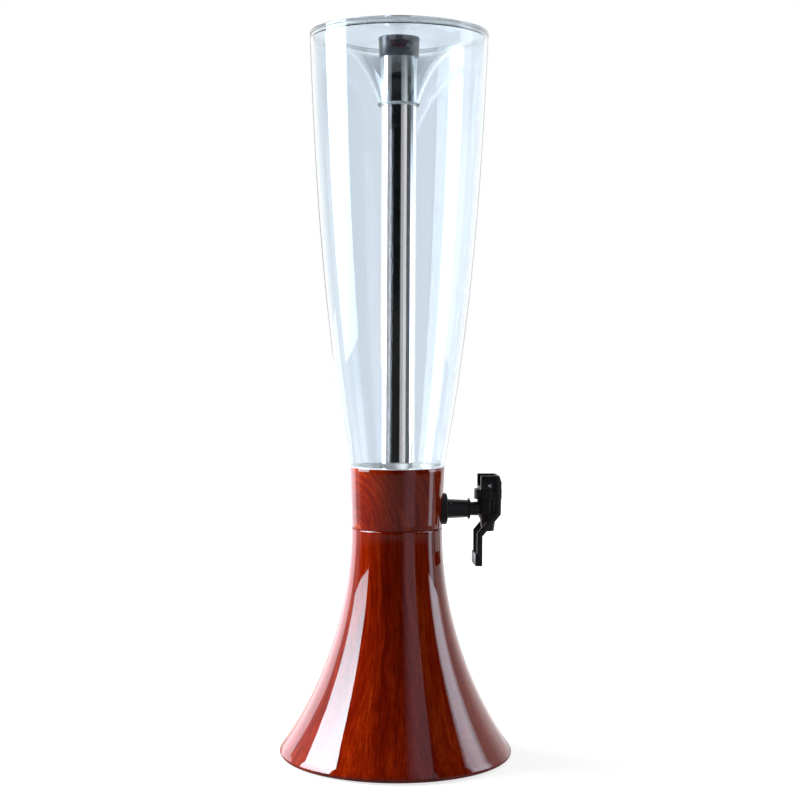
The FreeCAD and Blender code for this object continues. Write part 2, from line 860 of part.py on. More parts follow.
def return_spring():
    """Coil between the stem's flange and the gland, which shuts the tap."""
    foot = flange_top + spring_wire / 2
    length = bonnet_ceiling - flange_top - spring_wire
    path = Part.makeHelix(length / spring_turns, length, spring_mean_radius)
    start = path.Edges[0].firstVertex().Point
    section = Part.Wire(Part.makeCircle(spring_wire / 2, start, ACROSS))
    coil = Part.Wire(path.Edges).makePipeShell([section], True, True)
    coil.translate(UP * foot)
    return on_valve_axis(coil)


# Lever

def pin_bar(radius, length):
    start = FreeCAD.Vector(valve_reach, -length / 2, pin_height)
    return Part.makeCylinder(radius, length, start, ACROSS)


def lever_pin():
    return pin_bar(pin_radius, 2 * (lever_cheek_half + pin_proud))


def lever_arm(side):
    """One arm: down the front of the head, back under the spout and down to the grip."""
    shape = [
        (arm_back, head_foot + head_edge_round),
        (arm_back, head_top - head_edge_round),
        (head_brow_reach, head_top - head_edge_round),
        (head_heel_reach, head_brow_height),
        (arm_front, arm_knee_height),
        (grip_front, grip_front_knee),
        (grip_front, grip_foot),
        (grip_back, grip_foot),
        (grip_back, grip_back_knee),
        (arm_back, arm_back_knee),
    ]
    outer = lever_arm_inner + lever_arm_thickness
    start = lever_arm_inner if side > 0 else -outer
    arm = pushed(shape, lever_arm_thickness, start)
    return edges_round(arm, arm_corner_round, runs_across)


def lever_head():
    head = pushed([
        (head_back_reach, head_foot),
        (head_heel_reach, head_foot),
        (head_heel_reach, head_brow_height),
        (head_brow_reach, head_top),
        (head_back_reach, head_top),
    ], 2 * lever_cheek_half, -lever_cheek_half)
    upper = [edge for edge in head.Edges if edge.CenterOfMass.z > head_top - seat_gap]
    head = head.makeFillet(head_edge_round, upper)
    half_width = stem_radius + head_slot_gap
    slot_size = (2 * head_slot_half_length, 2 * half_width, head_height - head_slot_roof)
    corner = FreeCAD.Vector(valve_reach - head_slot_half_length, -half_width, head_foot)
    return head.cut(Part.makeBox(*slot_size, corner))


def grip_pad():
    span = 2 * lever_arm_inner + lever_arm_thickness
    corner = FreeCAD.Vector(grip_pad_face, -span / 2, grip_foot)
    pad = Part.makeBox(grip_pad_thickness, span, grip_pad_height, corner)
    return edges_round(pad, grip_pad_round, runs_across)


def lever():
    body = lever_head()
    for piece in (lever_arm(-1), lever_arm(1), grip_pad()):
        body = body.fuse(piece)
    body = body.removeSplitter()
    return body.cut(pin_bar(pin_radius + running_gap, 4 * lever_cheek_half))


nodes = {
    "base_shell": base_shell,
    "base_plate": base_plate,
    "plate_screws": plate_screws,
    "ballast": ballast,
    "ballast_screws": ballast_screws,
    "foot_pads": foot_pads,
    "collar": collar,
    "vessel_pad": vessel_pad,
    "vessel": vessel,
    "lid": lid,
    "lid_seal": lid_seal,
    "neck_ring": neck_ring,
    "ice_tube": ice_tube,
    "tube_cap": tube_cap,
    "cap_seal": cap_seal,
    "tap_washer_outer": washer_outer,
    "tap_washer_inner": washer_inner,
    "tap_nut": tap_nut,
    "tap_shank": tap_shank,
    "tap_body": tap_body,
    "bonnet_gasket": bonnet_gasket,
    "bonnet": bonnet,
    "stem_seal": stem_seal,
    "stem": stem,
    "valve_plug": valve_plug,
    "return_spring": return_spring,
    "lever_pin": lever_pin,
    "lever": lever,
}

os.makedirs("parts", exist_ok=True)
for name, make in nodes.items():
    shape = make()
    shape.exportStep("parts/" + name + ".step")
    print(name, len(shape.Solids), "solids", round(shape.Volume), "mm3", shape.isValid())
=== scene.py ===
import json
import math

import bmesh
import bpy
from mathutils import Matrix, Vector

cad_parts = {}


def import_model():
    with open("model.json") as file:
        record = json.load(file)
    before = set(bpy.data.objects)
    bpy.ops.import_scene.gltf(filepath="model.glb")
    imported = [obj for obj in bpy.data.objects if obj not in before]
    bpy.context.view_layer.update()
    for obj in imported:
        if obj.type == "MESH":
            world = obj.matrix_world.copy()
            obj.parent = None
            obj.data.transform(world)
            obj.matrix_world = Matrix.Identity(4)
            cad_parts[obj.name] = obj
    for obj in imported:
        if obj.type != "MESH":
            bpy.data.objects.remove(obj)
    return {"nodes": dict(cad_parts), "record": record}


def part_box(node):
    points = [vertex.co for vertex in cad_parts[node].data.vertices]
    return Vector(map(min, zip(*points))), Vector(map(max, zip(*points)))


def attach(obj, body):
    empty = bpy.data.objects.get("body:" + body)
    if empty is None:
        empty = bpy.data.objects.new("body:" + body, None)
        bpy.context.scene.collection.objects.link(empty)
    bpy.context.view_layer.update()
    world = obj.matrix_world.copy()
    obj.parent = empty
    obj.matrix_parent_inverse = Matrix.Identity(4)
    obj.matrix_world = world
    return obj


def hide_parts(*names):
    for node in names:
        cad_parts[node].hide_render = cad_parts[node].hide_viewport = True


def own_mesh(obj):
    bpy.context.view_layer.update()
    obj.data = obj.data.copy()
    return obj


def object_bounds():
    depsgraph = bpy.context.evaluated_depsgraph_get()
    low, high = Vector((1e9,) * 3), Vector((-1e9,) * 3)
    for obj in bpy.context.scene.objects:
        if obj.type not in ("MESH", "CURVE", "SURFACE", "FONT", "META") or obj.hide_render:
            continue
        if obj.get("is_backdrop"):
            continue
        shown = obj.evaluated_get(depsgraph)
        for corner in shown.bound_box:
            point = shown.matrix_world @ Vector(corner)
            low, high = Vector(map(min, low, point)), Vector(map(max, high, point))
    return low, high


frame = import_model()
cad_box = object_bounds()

# Drink tower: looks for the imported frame. The object's sizes are in millimetres, and its meshes are written
# in metres in the frame's own axes. The floor, the boards and the lamps are in metres throughout.
MM = 0.001
FULL_TURN = 2 * math.pi
AXIS_LIMIT = 1e-6          # a radius under this is on the axis
SHARP_ANGLE = math.radians(32)
WHITE = (1.0, 1.0, 1.0)
BLACK = (0.0, 0.0, 0.0)

# Steps round the turned pieces
BELL_STEPS = 288
VESSEL_STEPS = 256
BACK_STEPS = 224
TUBE_STEPS = 192
TAP_STEPS = 96
HOLE_STEPS = 64
PIN_STEPS = 48

# Camera, which looks at the tower with the tap pointing right and a little away
CAMERA_DISTANCE = 1406.3
CAMERA_HEIGHT = 370.7
CAMERA_AZIMUTH = math.radians(-4.0)
CAMERA_PITCH = math.radians(2.125)
CAMERA_YAW = math.radians(0.100)
CAMERA_ROLL = math.radians(0.30)
SENSOR = 36.0
LENS = 70.89

# Level directions in the studio: from the camera past the tower, and to the left of that
BACK = (-math.sin(CAMERA_AZIMUTH), math.cos(CAMERA_AZIMUTH), 0.0)
LEFT = (-math.cos(CAMERA_AZIMUTH), -math.sin(CAMERA_AZIMUTH), 0.0)
UP = (0.0, 0.0, 1.0)

# Sizes and places shared by several pieces
SEAM = 205.0               # height at which the collar stands on the bell
COLLAR_TOP = 259.6
COLLAR_FOOT = 40.6         # the collar's outer radius at the seam
COLLAR_HEAD = 42.5         # and at its top
RIM = 640.3                # height of the vessel's rim
RIM_RADIUS = 78.9
GRIP_BORE = 16.3           # inner radius of the lid's neck and of the cap's skirt, both on the ice tube
TAP = 221.1                # height of the shank's axis
SHANK_HOLE = 8.1           # radius of the holes that the shank passes through
WASHER_FACE = 45.0         # reach at which the outer washer ends and the shank's sleeve starts
SHANK_END = 65.7           # reach at which the shank ends and the tap's neck comes out
VALVE = 82.1               # reach of the valve's upright axis
PIN_HEIGHT = 242.55
CHAMFER = 0.3              # on small edges that are cut and not rounded


# Profiles

def bezier(poles, steps):
    """Points of a cubic curve, both ends included."""
    points = []
    for index in range(steps + 1):
        t = index / steps
        s = 1 - t
        weights = (s ** 3, 3 * s * s * t, 3 * s * t * t, t ** 3)
        points.append(tuple(sum(w * pole[axis] for w, pole in zip(weights, poles)) for axis in (0, 1)))
    return points


def arc(centre, radius, start, end, steps):
    """Points of an arc in the profile's plane, with its angles in degrees."""
    points = []
    for index in range(steps + 1):
        angle = math.radians(start + (end - start) * index / steps)
        points.append((centre[0] + radius * math.cos(angle), centre[1] + radius * math.sin(angle)))
    return points


def inset(poles, wall):
    """Poles of the curve one wall inside a curve drawn upwards."""
    moved = []
    for index, pole in enumerate(poles):
        before = Vector(poles[max(index - 1, 0)])
        after = Vector(poles[min(index + 1, len(poles) - 1)])
        along = (after - before).normalized()
        moved.append((pole[0] - along.y * wall, pole[1] + along.x * wall))
    return moved


# Meshes

def piece_from(name, vertices, faces):
    """Object with a smooth mesh whose sharp bends stay sharp. Its vertices are in metres."""
    mesh = bpy.data.meshes.new(name)
    mesh.from_pydata(vertices, [], faces)
    work = bmesh.new()
    work.from_mesh(mesh)
    bmesh.ops.recalc_face_normals(work, faces=work.faces)
    work.to_mesh(mesh)
    work.free()
    mesh.shade_smooth()
    mesh.set_sharp_from_angle(angle=SHARP_ANGLE)
    piece = bpy.data.objects.new(name, mesh)
    bpy.context.scene.collection.objects.link(piece)
    return piece


def in_metres(vertices):
    """The same points, from millimetres to metres."""
    return [tuple(value * MM for value in vertex) for vertex in vertices]


def upright(radius, height, angle, centre):
    """Point round an upright axis that stands at x = centre."""
    return (centre + radius * math.cos(angle), radius * math.sin(angle), height)


def along_shank(radius, reach, angle, centre):
    """Point round an axis that runs out along X at z = centre."""
    return (reach, radius * math.cos(angle), centre + radius * math.sin(angle))


def across(radius, reach, angle, centre):
    """Point round an axis that runs along Y, where centre gives its x and z."""
    return (centre[0] + radius * math.cos(angle), reach, centre[1] + radius * math.sin(angle))


def lathe(name, profile, steps, place=upright, centre=0.0, waist=None):
    """Closed turned mesh. The profile is a loop of (radius, height), and waist(radius, height, angle)
    may change a radius round the piece, as ribs do."""
    vertices, rings = [], []
    for radius, height in profile:
        if radius < AXIS_LIMIT:
            rings.append([len(vertices)])
            vertices.append(place(0.0, height, 0.0, centre))
            continue
        rings.append(range(len(vertices), len(vertices) + steps))
        for index in range(steps):
            angle = FULL_TURN * index / steps
            here = waist(radius, height, angle) if waist else radius
            vertices.append(place(here, height, angle, centre))
    faces = []
    for low, high in zip(rings, rings[1:] + rings[:1]):
        if len(low) == 1 and len(high) == 1:
            continue
        for index in range(steps):
            after = (index + 1) % steps
            if len(low) == 1:
                faces.append((low[0], high[after], high[index]))
            elif len(high) == 1:
                faces.append((low[index], low[after], high[0]))
            else:
                faces.append((low[index], low[after], high[after], high[index]))
    return piece_from(name, in_metres(vertices), faces)


def rod(name, radius, start, end, steps, place, centre):
    """Plain round bar, to add to a piece or to cut it with."""
    return lathe(name, [(0, start), (radius, start), (radius, end), (0, end)], steps, place, centre)


def prism(name, outline, start, end):
    """Block with an outline in X and Z, from y = start to y = end."""
    count = len(outline)
    vertices = in_metres((x, y, z) for y in (start, end) for x, z in outline)
    faces = [tuple(range(count)), tuple(range(count, 2 * count))]
    for index in range(count):
        after = (index + 1) % count
        faces.append((index, after, count + after, count + index))
    return piece_from(name, vertices, faces)


def block(name, reaches, heights, half):
    """Plain block between two values of X and two heights, which goes half its width each way in Y."""
    near, far = reaches
    low, high = heights
    return prism(name, [(near, low), (far, low), (far, high), (near, high)], -half, half)


def joined(piece, tools, operation):
    """Piece with each tool added to it or cut from it."""
    for tool in tools:
        step = piece.modifiers.new(operation, "BOOLEAN")
        step.operation = operation
        step.solver = "EXACT"
        step.object = tool
        applied(piece)
        bpy.data.objects.remove(tool)
    return piece


def applied(piece):
    """Puts the result of the piece's modifiers into its mesh."""
    bpy.context.view_layer.update()
    shape = bpy.data.meshes.new_from_object(piece.evaluated_get(bpy.context.evaluated_depsgraph_get()))
    piece.modifiers.clear()
    piece.data = shape
    shape.shade_smooth()
    shape.set_sharp_from_angle(angle=SHARP_ANGLE)
    return piece


def bevelled(piece, width, steps):
    """Piece with its sharp edges rounded."""
    edge = piece.modifiers.new("edge", "BEVEL")
    edge.width = width * MM
    edge.segments = steps
    edge.limit_method = "ANGLE"
    edge.angle_limit = SHARP_ANGLE
    return applied(piece)


def dressed(piece, material, body, slot, *nodes):
    """Gives a piece its material and its body, and hides the CAD nodes that it stands for. The slot is not
    used.
    """
    piece.data.materials.clear()
    piece.data.materials.append(material)
    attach(piece, body)
    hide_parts(*nodes)
    return piece


# Materials

class Nodes:
    """A node tree under construction. Most methods add one node and return its main output. An input is
    another node's output or a fixed value."""

    def __init__(self, tree):
        self.tree = tree

    def add(self, kind, inputs, **settings):
        node = self.tree.nodes.new(kind)
        for key, value in settings.items():
            setattr(node, key, value)
        for key, value in inputs.items():
            self.feed(node.inputs[key], value)
        return node

    def feed(self, socket, value):
        if isinstance(value, bpy.types.NodeSocket):
            self.tree.links.new(value, socket)
        else:
            socket.default_value = value

    def where(self):
        return self.add("ShaderNodeTexCoord", {}).outputs["Object"]

    def place(self, scale=(1, 1, 1)):
        return self.add("ShaderNodeMapping", {"Vector": self.where(), "Scale": scale}).outputs["Vector"]

    def noise(self, where, scale, detail=4.0, roughness=0.55, distortion=0.0):
        node = self.add("ShaderNodeTexNoise", {
            "Vector": where, "Scale": scale, "Detail": detail, "Roughness": roughness,
            "Distortion": distortion})
        return node.outputs["Fac"]

    def math(self, operation, first, second):
        return self.add("ShaderNodeMath", {0: first, 1: second}, operation=operation).outputs["Value"]

    def plus(self, first, second):
        return self.math("ADD", first, second)

    def minus(self, first, second):
        return self.math("SUBTRACT", first, second)

    def times(self, first, second):
        return self.math("MULTIPLY", first, second)

    def above(self, first, second):
        return self.math("GREATER_THAN", first, second)

    def below(self, first, second):
        return self.math("LESS_THAN", first, second)

    def span(self, value, low, high, to_low=0.0, to_high=1.0):
        node = self.add("ShaderNodeMapRange", {
            "Value": value, "From Min": low, "From Max": high, "To Min": to_low, "To Max": to_high})
        return node.outputs["Result"]

    def vector(self, operation, *inputs):
        """Vector sum whose result is a vector."""
        node = self.add("ShaderNodeVectorMath", dict(enumerate(inputs)), operation=operation)
        return node.outputs["Vector"]

    def measure(self, operation, *inputs):
        """Vector sum whose result is a number."""
        node = self.add("ShaderNodeVectorMath", dict(enumerate(inputs)), operation=operation)
        return node.outputs["Value"]

    def parts(self, vector):
        """The outputs X, Y and Z of a vector."""
        return self.add("ShaderNodeSeparateXYZ", {"Vector": vector}).outputs

    def combine(self, x, y, z):
        return self.add("ShaderNodeCombineXYZ", {"X": x, "Y": y, "Z": z}).outputs["Vector"]

    def mix(self, factor, first, second):
        """Colour mix. A fixed colour is given as red, green and blue."""
        first_colour, second_colour, mixed_colour = 6, 7, 2      # the node's sockets for colours
        node = self.add("ShaderNodeMix", {}, data_type="RGBA")
        self.feed(node.inputs["Factor"], factor)
        for socket, colour in ((first_colour, first), (second_colour, second)):
            self.feed(node.inputs[socket], (*colour, 1.0) if isinstance(colour, tuple) else colour)
        return node.outputs[mixed_colour]

    def ramp(self, value, stops):
        node = self.add("ShaderNodeValToRGB", {"Fac": value})
        band = node.color_ramp
        while len(band.elements) < len(stops):
            band.elements.new(0.5)
        for element, (spot, colour) in zip(band.elements, stops):
            element.position = spot
            element.color = (*colour, 1.0)
        return node.outputs["Color"]

    def bump(self, height, strength, distance):
        node = self.add("ShaderNodeBump", {"Height": height, "Strength": strength, "Distance": distance})
        return node.outputs["Normal"]

    def either(self, factor, first, second):
        """Shader mix: the first at 0 and the second at 1."""
        return self.add("ShaderNodeMixShader", {0: factor, 1: first, 2: second}).outputs[0]


class Recipe(Nodes):
    """A material under construction."""

    def __init__(self, name):
        self.material = bpy.data.materials.new(name)
        self.material.use_nodes = True
        super().__init__(self.material.node_tree)
        self.shader = self.tree.nodes["Principled BSDF"]

    def set(self, **inputs):
        """Sets the shader's inputs, whose names are written here with _ for each space."""
        for key, value in inputs.items():
            self.feed(self.shader.inputs[key.replace("_", " ")], value)

    def surface(self, shader):
        """Makes another shader the material's surface, and keeps it from being sampled as a lamp."""
        self.tree.links.new(shader, self.tree.nodes["Material Output"].inputs["Surface"])
        self.material.cycles.emission_sampling = "NONE"


def bell_grain(recipe):
    """Grain that runs up the turned surface, wavers, and leans a little where the bell spreads."""
    where = recipe.where()
    apart = recipe.parts(where)
    flat = recipe.combine(apart["X"], apart["Y"], 0.0)
    spread = recipe.math("POWER", recipe.measure("LENGTH", flat), 0.2)
    heading = recipe.vector("NORMALIZE", flat)
    slow = recipe.minus(recipe.noise(where, 11.0, 2.0), 0.5)
    quick = recipe.minus(recipe.noise(where, 55.0, 2.0), 0.5)
    angle = recipe.plus(recipe.times(slow, 0.34), recipe.times(quick, 0.03))
    turned = recipe.add("ShaderNodeVectorRotate", {"Vector": heading, "Angle": angle},
                        rotation_type="Z_AXIS")
    turn = recipe.parts(turned.outputs["Vector"])

    def scaled(around, up):
        wide = recipe.times(spread, around)
        return recipe.combine(
            recipe.times(turn["X"], wide), recipe.times(turn["Y"], wide), recipe.times(apart["Z"], up))

    return scaled


def collar_grain(recipe):
    """Grain in wide arches round a point low on the front left of the collar."""
    heart = tuple(value * MM for value in (-40.0, -22.0, SEAM - 12))
    squeeze, crowding, unrest = (1.0, 1.0, 0.55), 9.0, 0.008
    where = recipe.where()
    away = recipe.vector("SUBTRACT", where, heart)
    ring = recipe.measure("LENGTH", recipe.vector("MULTIPLY", away, squeeze))
    waver = recipe.minus(recipe.noise(where, 26.0, 2.0), 0.5)
    ring = recipe.plus(ring, recipe.times(waver, unrest))
    apart = recipe.parts(where)

    def scaled(around, up):
        return recipe.combine(
            recipe.times(ring, around * crowding), recipe.times(apart["X"], up), recipe.times(apart["Z"], up))

    return scaled


def bare_inside_highlit_top(recipe, colour, radius):
    """Colour that gives way to the bare pale moulding within a radius, and to the same pale as a painted
    highlight on the collar's top edge.
    """
    highlight_edge_foot = COLLAR_TOP - 0.6
    flat = recipe.vector("MULTIPLY", recipe.where(), (1.0, 1.0, 0.0))
    outside = recipe.above(recipe.measure("LENGTH", flat), radius * MM)
    height = recipe.parts(recipe.where())["Z"]
    # Above that height the collar's top edge takes the pale colour as a painted highlight; within the radius
    # the moulding is bare.
    grain_shown = recipe.times(outside, recipe.below(height, highlight_edge_foot * MM))
    pale = recipe.mix(recipe.noise(recipe.place(), 300.0), (0.80, 0.79, 0.78), (0.86, 0.85, 0.84))
    return recipe.mix(grain_shown, pale, colour)


def wood_material(name, grain, bare_radius=0.0):
    """Glossy lacquer over a printed grain. A bare_radius leaves the moulding within it bare and paints a pale
    highlight on the collar's top edge.
    """
    recipe = Recipe(name)
    scaled = grain(recipe)
    broad = recipe.noise(scaled(5.0, 3.0), 1.0, 2.0, 0.5)
    figure = recipe.noise(scaled(15.0, 6.0), 1.0, 3.0, 0.6, 0.3)
    fibre = recipe.noise(scaled(58.0, 36.0), 1.0, 3.0, 0.6, 0.2)
    pore = recipe.noise(scaled(150.0, 150.0), 1.0, 3.0, 0.7)
    tone = recipe.plus(recipe.times(broad, 0.36), recipe.times(figure, 0.28))
    tone = recipe.plus(tone, recipe.times(fibre, 0.36))
    colour = recipe.ramp(tone, [
        (0.36, (0.150, 0.0050, 0.0006)),
        (0.46, (0.280, 0.0125, 0.0010)),
        (0.54, (0.410, 0.0260, 0.0018)),
        (0.64, (0.580, 0.0640, 0.0060)),
    ])
    fleck = recipe.span(pore, 0.36, 0.50, 0.60, 0.0)
    colour = recipe.mix(fleck, colour, (0.110, 0.0040, 0.0010))
    if bare_radius:
        colour = bare_inside_highlit_top(recipe, colour, bare_radius)
    ripple = recipe.noise(recipe.place(), 26.0, 2.0, 0.5)
    sheen = recipe.span(recipe.noise(recipe.place(), 60.0, 4.0), 0.3, 0.7, 0.018, 0.045)
    recipe.set(Base_Color=colour, Roughness=0.5, IOR=1.45, Specular_IOR_Level=0.0)
    recipe.set(Coat_Weight=1.0, Coat_IOR=1.6, Coat_Roughness=sheen)
    recipe.set(Coat_Normal=recipe.bump(ripple, 0.10, 0.0012))
    recipe.set(Normal=recipe.bump(fibre, 0.10, 0.0003))
    return recipe.material


def clear_material():
    """Clear moulded plastic with a cool cast and faint handling haze."""
    recipe = Recipe("clear_plastic")
    haze = recipe.span(recipe.noise(recipe.place(), 34.0, 5.0, 0.6), 0.45, 0.75, 0.0, 0.035)
    cast = recipe.noise(recipe.place(), 9.0, 2.0)
    tint = recipe.mix(cast, (0.876, 0.924, 0.953), (0.890, 0.935, 0.960))
    waviness = recipe.noise(recipe.place((1, 1, 0.35)), 16.0, 2.0, 0.4)
    recipe.set(Base_Color=tint, IOR=1.45, Transmission_Weight=1.0, Roughness=haze)
    recipe.set(Normal=recipe.bump(waviness, 0.06, 0.002))
    return recipe.material


def steel_material():
    """Polished tube with fine lengthwise draw marks."""
    recipe = Recipe("polished_steel")
    draw = recipe.noise(recipe.place((1, 1, 0.01)), 900.0, 3.0, 0.6)
    smudge = recipe.noise(recipe.place(), 40.0, 4.0, 0.6)
    tone = recipe.mix(smudge, (0.74, 0.74, 0.75), (0.84, 0.84, 0.84))
    recipe.set(Base_Color=tone, Metallic=1.0)
    recipe.set(Roughness=recipe.span(smudge, 0.3, 0.7, 0.05, 0.10))
    recipe.set(Normal=recipe.bump(draw, 0.02, 0.0002))
    return recipe.material


def moulded_material(name, colour, low, high, grain=900.0, depth=0.12, index=1.5):
    """Opaque moulded plastic or rubber: fine texture, slight mottling, and a roughness from low to high."""
    recipe = Recipe(name)
    speck = recipe.noise(recipe.place(), grain, 3.0, 0.6)
    patch = recipe.noise(recipe.place(), 70.0, 4.0, 0.6)
    paler = tuple(min(1.0, value * 1.5 + 0.002) for value in colour)
    recipe.set(Base_Color=recipe.mix(patch, colour, paler), IOR=index)
    recipe.set(Roughness=recipe.span(patch, 0.3, 0.7, low, high))
    recipe.set(Normal=recipe.bump(speck, depth, 0.00025))
    return recipe.material


def milky_material():
    """Translucent silicone."""
    recipe = Recipe("clear_silicone")
    cloud = recipe.noise(recipe.place(), 120.0, 3.0, 0.5)
    recipe.set(Base_Color=recipe.mix(cloud, (0.80, 0.84, 0.86), (0.90, 0.92, 0.93)), IOR=1.42)
    recipe.set(Transmission_Weight=0.75, Roughness=recipe.span(cloud, 0.3, 0.7, 0.22, 0.38))
    return recipe.material


def metal_material(name, colour, low, high, grain, depth):
    """Speckled metal with a roughness from low to high."""
    recipe = Recipe(name)
    speck = recipe.noise(recipe.place(), grain, 4.0, 0.6)
    darker = tuple(value * 0.75 for value in colour)
    recipe.set(Base_Color=recipe.mix(speck, darker, colour), Metallic=1.0)
    recipe.set(Roughness=recipe.span(speck, 0.3, 0.7, low, high))
    recipe.set(Normal=recipe.bump(speck, depth, 0.0002))
    return recipe.material


materials = {
    "wood_finish": wood_material("lacquered_wood", bell_grain),
    "clear_plastic": clear_material(),
    "polished_steel": steel_material(),
    "black_plastic": moulded_material("black_plastic", (0.012, 0.013, 0.015), 0.20, 0.36),
    "dark_plastic": moulded_material("dark_plastic", (0.030, 0.031, 0.034), 0.42, 0.60),
    "black_rubber": moulded_material("black_rubber", (0.018, 0.018, 0.019), 0.55, 0.75, 700.0, 0.2),
    "clear_silicone": milky_material(),
    "ballast_iron": metal_material("ballast_iron", (0.16, 0.15, 0.145), 0.55, 0.8, 350.0, 0.5),
    "fastener_steel": metal_material("fastener_steel", (0.66, 0.66, 0.67), 0.16, 0.30, 1200.0, 0.05),
}

collar_wood = wood_material("lacquered_wood_arched", collar_grain, bare_radius=38.4)
cap_plastic = moulded_material("cap_plastic", (0.0018, 0.0028, 0.0065), 0.07, 0.12, 900.0, 0.03, 1.30)

for entry in frame["record"]["subparts"]:
    node = frame["nodes"][entry["node"]]
    node.data.materials.clear()
    node.data.materials.append(materials[entry["material_slot"]])


# Base and collar

def bell():
    """Bell-shaped shell with a rounded lip at the floor and a rounded edge at the seam."""
    lip, lip_round, lip_clear, wall = 104.0, 4.0, 1.0, 3.0
    neck, neck_round = 40.8, 1.5
    edge_height, edge_inset = 8.0, 1.6
    plate_top, ledge = 5.2, 96.5
    top = SEAM - neck_round
    rise = top - edge_height
    foot = lip - edge_inset
    spread = foot - neck
    poles = [
        (foot, edge_height),
        (foot - spread * 0.713, edge_height + rise * 0.325),
        (neck, top - rise * 0.325),
        (neck, top),
    ]
    hollow = inset(poles, wall)
    profile = [(lip - lip_round, plate_top), (lip - lip_round, lip_clear)]
    profile += arc((lip - lip_round, lip_clear + lip_round), lip_round, -85, 0, 10)
    profile += bezier(poles, 120)
    profile += arc((neck - neck_round, top), neck_round, 8, 90, 10)
    profile += [(hollow[-1][0], SEAM)]
    profile += bezier(hollow[::-1], 60)
    profile += [(ledge, plate_top)]
    return lathe("bell_shell", profile, BELL_STEPS)


def collar():
    """Slightly conical sleeve with a floor, and a spigot below it that stands in the bell's neck."""
    foot, head, edge = COLLAR_FOOT, COLLAR_HEAD, 0.7
    bore, spigot, spigot_wall, slant = 37.7, 37.5, 2.8, 2.0
    floor_top, floor_foot, floor_hole, spigot_foot = 199.0, 195.5, 18.0, 189.0
    inner = spigot - spigot_wall
    profile = [
        (floor_hole, floor_foot), (inner, floor_foot), (inner, spigot_foot), (spigot, spigot_foot),
        (spigot, SEAM), (foot - edge, SEAM),
    ]
    profile += arc((foot - edge, SEAM + edge), edge, -75, 0, 5)
    side_foot, side_rise, side_steps = SEAM + edge, COLLAR_TOP - SEAM - 2 * edge, 12
    for index in range(1, side_steps):
        share = index / side_steps
        profile.append((foot + (head - foot) * share, side_foot + side_rise * share))
    profile += arc((head - edge, COLLAR_TOP - edge), edge, 0, 90, 6)
    profile += [
        (bore, COLLAR_TOP), (bore, SEAM + slant), (inner, SEAM - slant), (inner, floor_top),
        (floor_hole, floor_top),
    ]
    return lathe("collar_sleeve", profile, BELL_STEPS)


# Vessel and lid

def vessel():
    """Clear container. Its foot stands in the collar, above which its wall flares to the rim, and the shank
    passes through it."""
    wall, edge = 2.5, 0.6
    foot_height, floor_height = 200.5, 203.5
    foot_radius, foot_round = 37.4, 9.5
    bore = foot_radius - wall
    floor_round = foot_round - wall
    shoulder, shoulder_step, rim = 42.4, 0.1, RIM_RADIUS
    rise, spread = RIM - COLLAR_TOP, rim - shoulder
    outer = [
        (shoulder, COLLAR_TOP),
        (shoulder + spread * 0.393, COLLAR_TOP + rise * 0.218),
        (rim - spread * 0.198, RIM - rise * 0.527),
        (rim, RIM),
    ]
    inner = inset(outer, wall)
    inner[-1] = (inner[-1][0], RIM)
    profile = [(0, foot_height)]
    profile += arc((foot_radius - foot_round, foot_height + foot_round), foot_round, -90, 0, 10)
    profile += [(foot_radius, COLLAR_TOP - CHAMFER), (foot_radius + CHAMFER, COLLAR_TOP)]
    profile += arc((shoulder - edge, COLLAR_TOP + edge), edge, -90, -10, 5)
    profile += [(shoulder + shoulder_step, COLLAR_TOP + edge + shoulder_step)]
    profile += bezier(outer, 96)[1:-1]
    profile += arc((rim - edge, RIM - edge), edge, 4, 90, 4)
    profile += arc((inner[-1][0] + edge, RIM - edge), edge, 90, 176, 4)
    profile += bezier(inner[::-1], 96)[1:]
    crisp, ledge_round = 0.05, 0.5      # the first keeps the bend's shading on the bend
    ledge_height = inner[0][1] - crisp
    profile += [(inner[0][0] - crisp, ledge_height)]
    profile += arc((bore + ledge_round, ledge_height - ledge_round), ledge_round, 90, 180, 4)
    profile += arc((bore - floor_round, floor_height + floor_round), floor_round, 0, -90, 10)
    profile += [(0, floor_height)]
    hole_start, hole_end = 20.0, 46.0
    hole = rod("cutter", SHANK_HOLE, hole_start, hole_end, HOLE_STEPS, along_shank, TAP)
    return joined(lathe("vessel_wall", profile, VESSEL_STEPS), [hole], "DIFFERENCE")


def lid():
    """Clear trumpet whose neck grips the ice tube and whose flange lies on the vessel's rim."""
    wall, neck_foot, ring_height, ring_wall = 1.9, 579.0, 2.4, 1.1
    skirt, skirt_depth = 74.6, 3.0
    rim, flange, flange_round, mouth_edge = RIM_RADIUS, 3.2, 0.8, 0.5
    top = RIM + flange
    foot = (GRIP_BORE + wall, neck_foot)
    end = (skirt, RIM - skirt_depth)
    spread, rise = end[0] - foot[0], end[1] - foot[1]
    under = [
        foot,
        (foot[0] + spread * 0.112, foot[1] + rise * 0.427),
        (end[0] - spread * 0.613, end[1] - rise * 0.034),
        end,
    ]
    over = inset(under, wall)
    over[0] = (GRIP_BORE, neck_foot + ring_height)
    seat = GRIP_BORE + ring_wall
    profile = [(seat, neck_foot)]
    profile += bezier(under, 72)
    profile += [(skirt, RIM), (rim - CHAMFER, RIM), (rim, RIM + CHAMFER)]
    profile += arc((rim - flange_round, top - flange_round), flange_round, 0, 90, 6)
    profile += [(over[-1][0] + mouth_edge, top), (over[-1][0], top - mouth_edge)]
    profile += bezier(over[::-1], 72)
    profile += [(seat, neck_foot + ring_height)]
    return lathe("lid_trumpet", profile, VESSEL_STEPS)


# Ice tube and cap

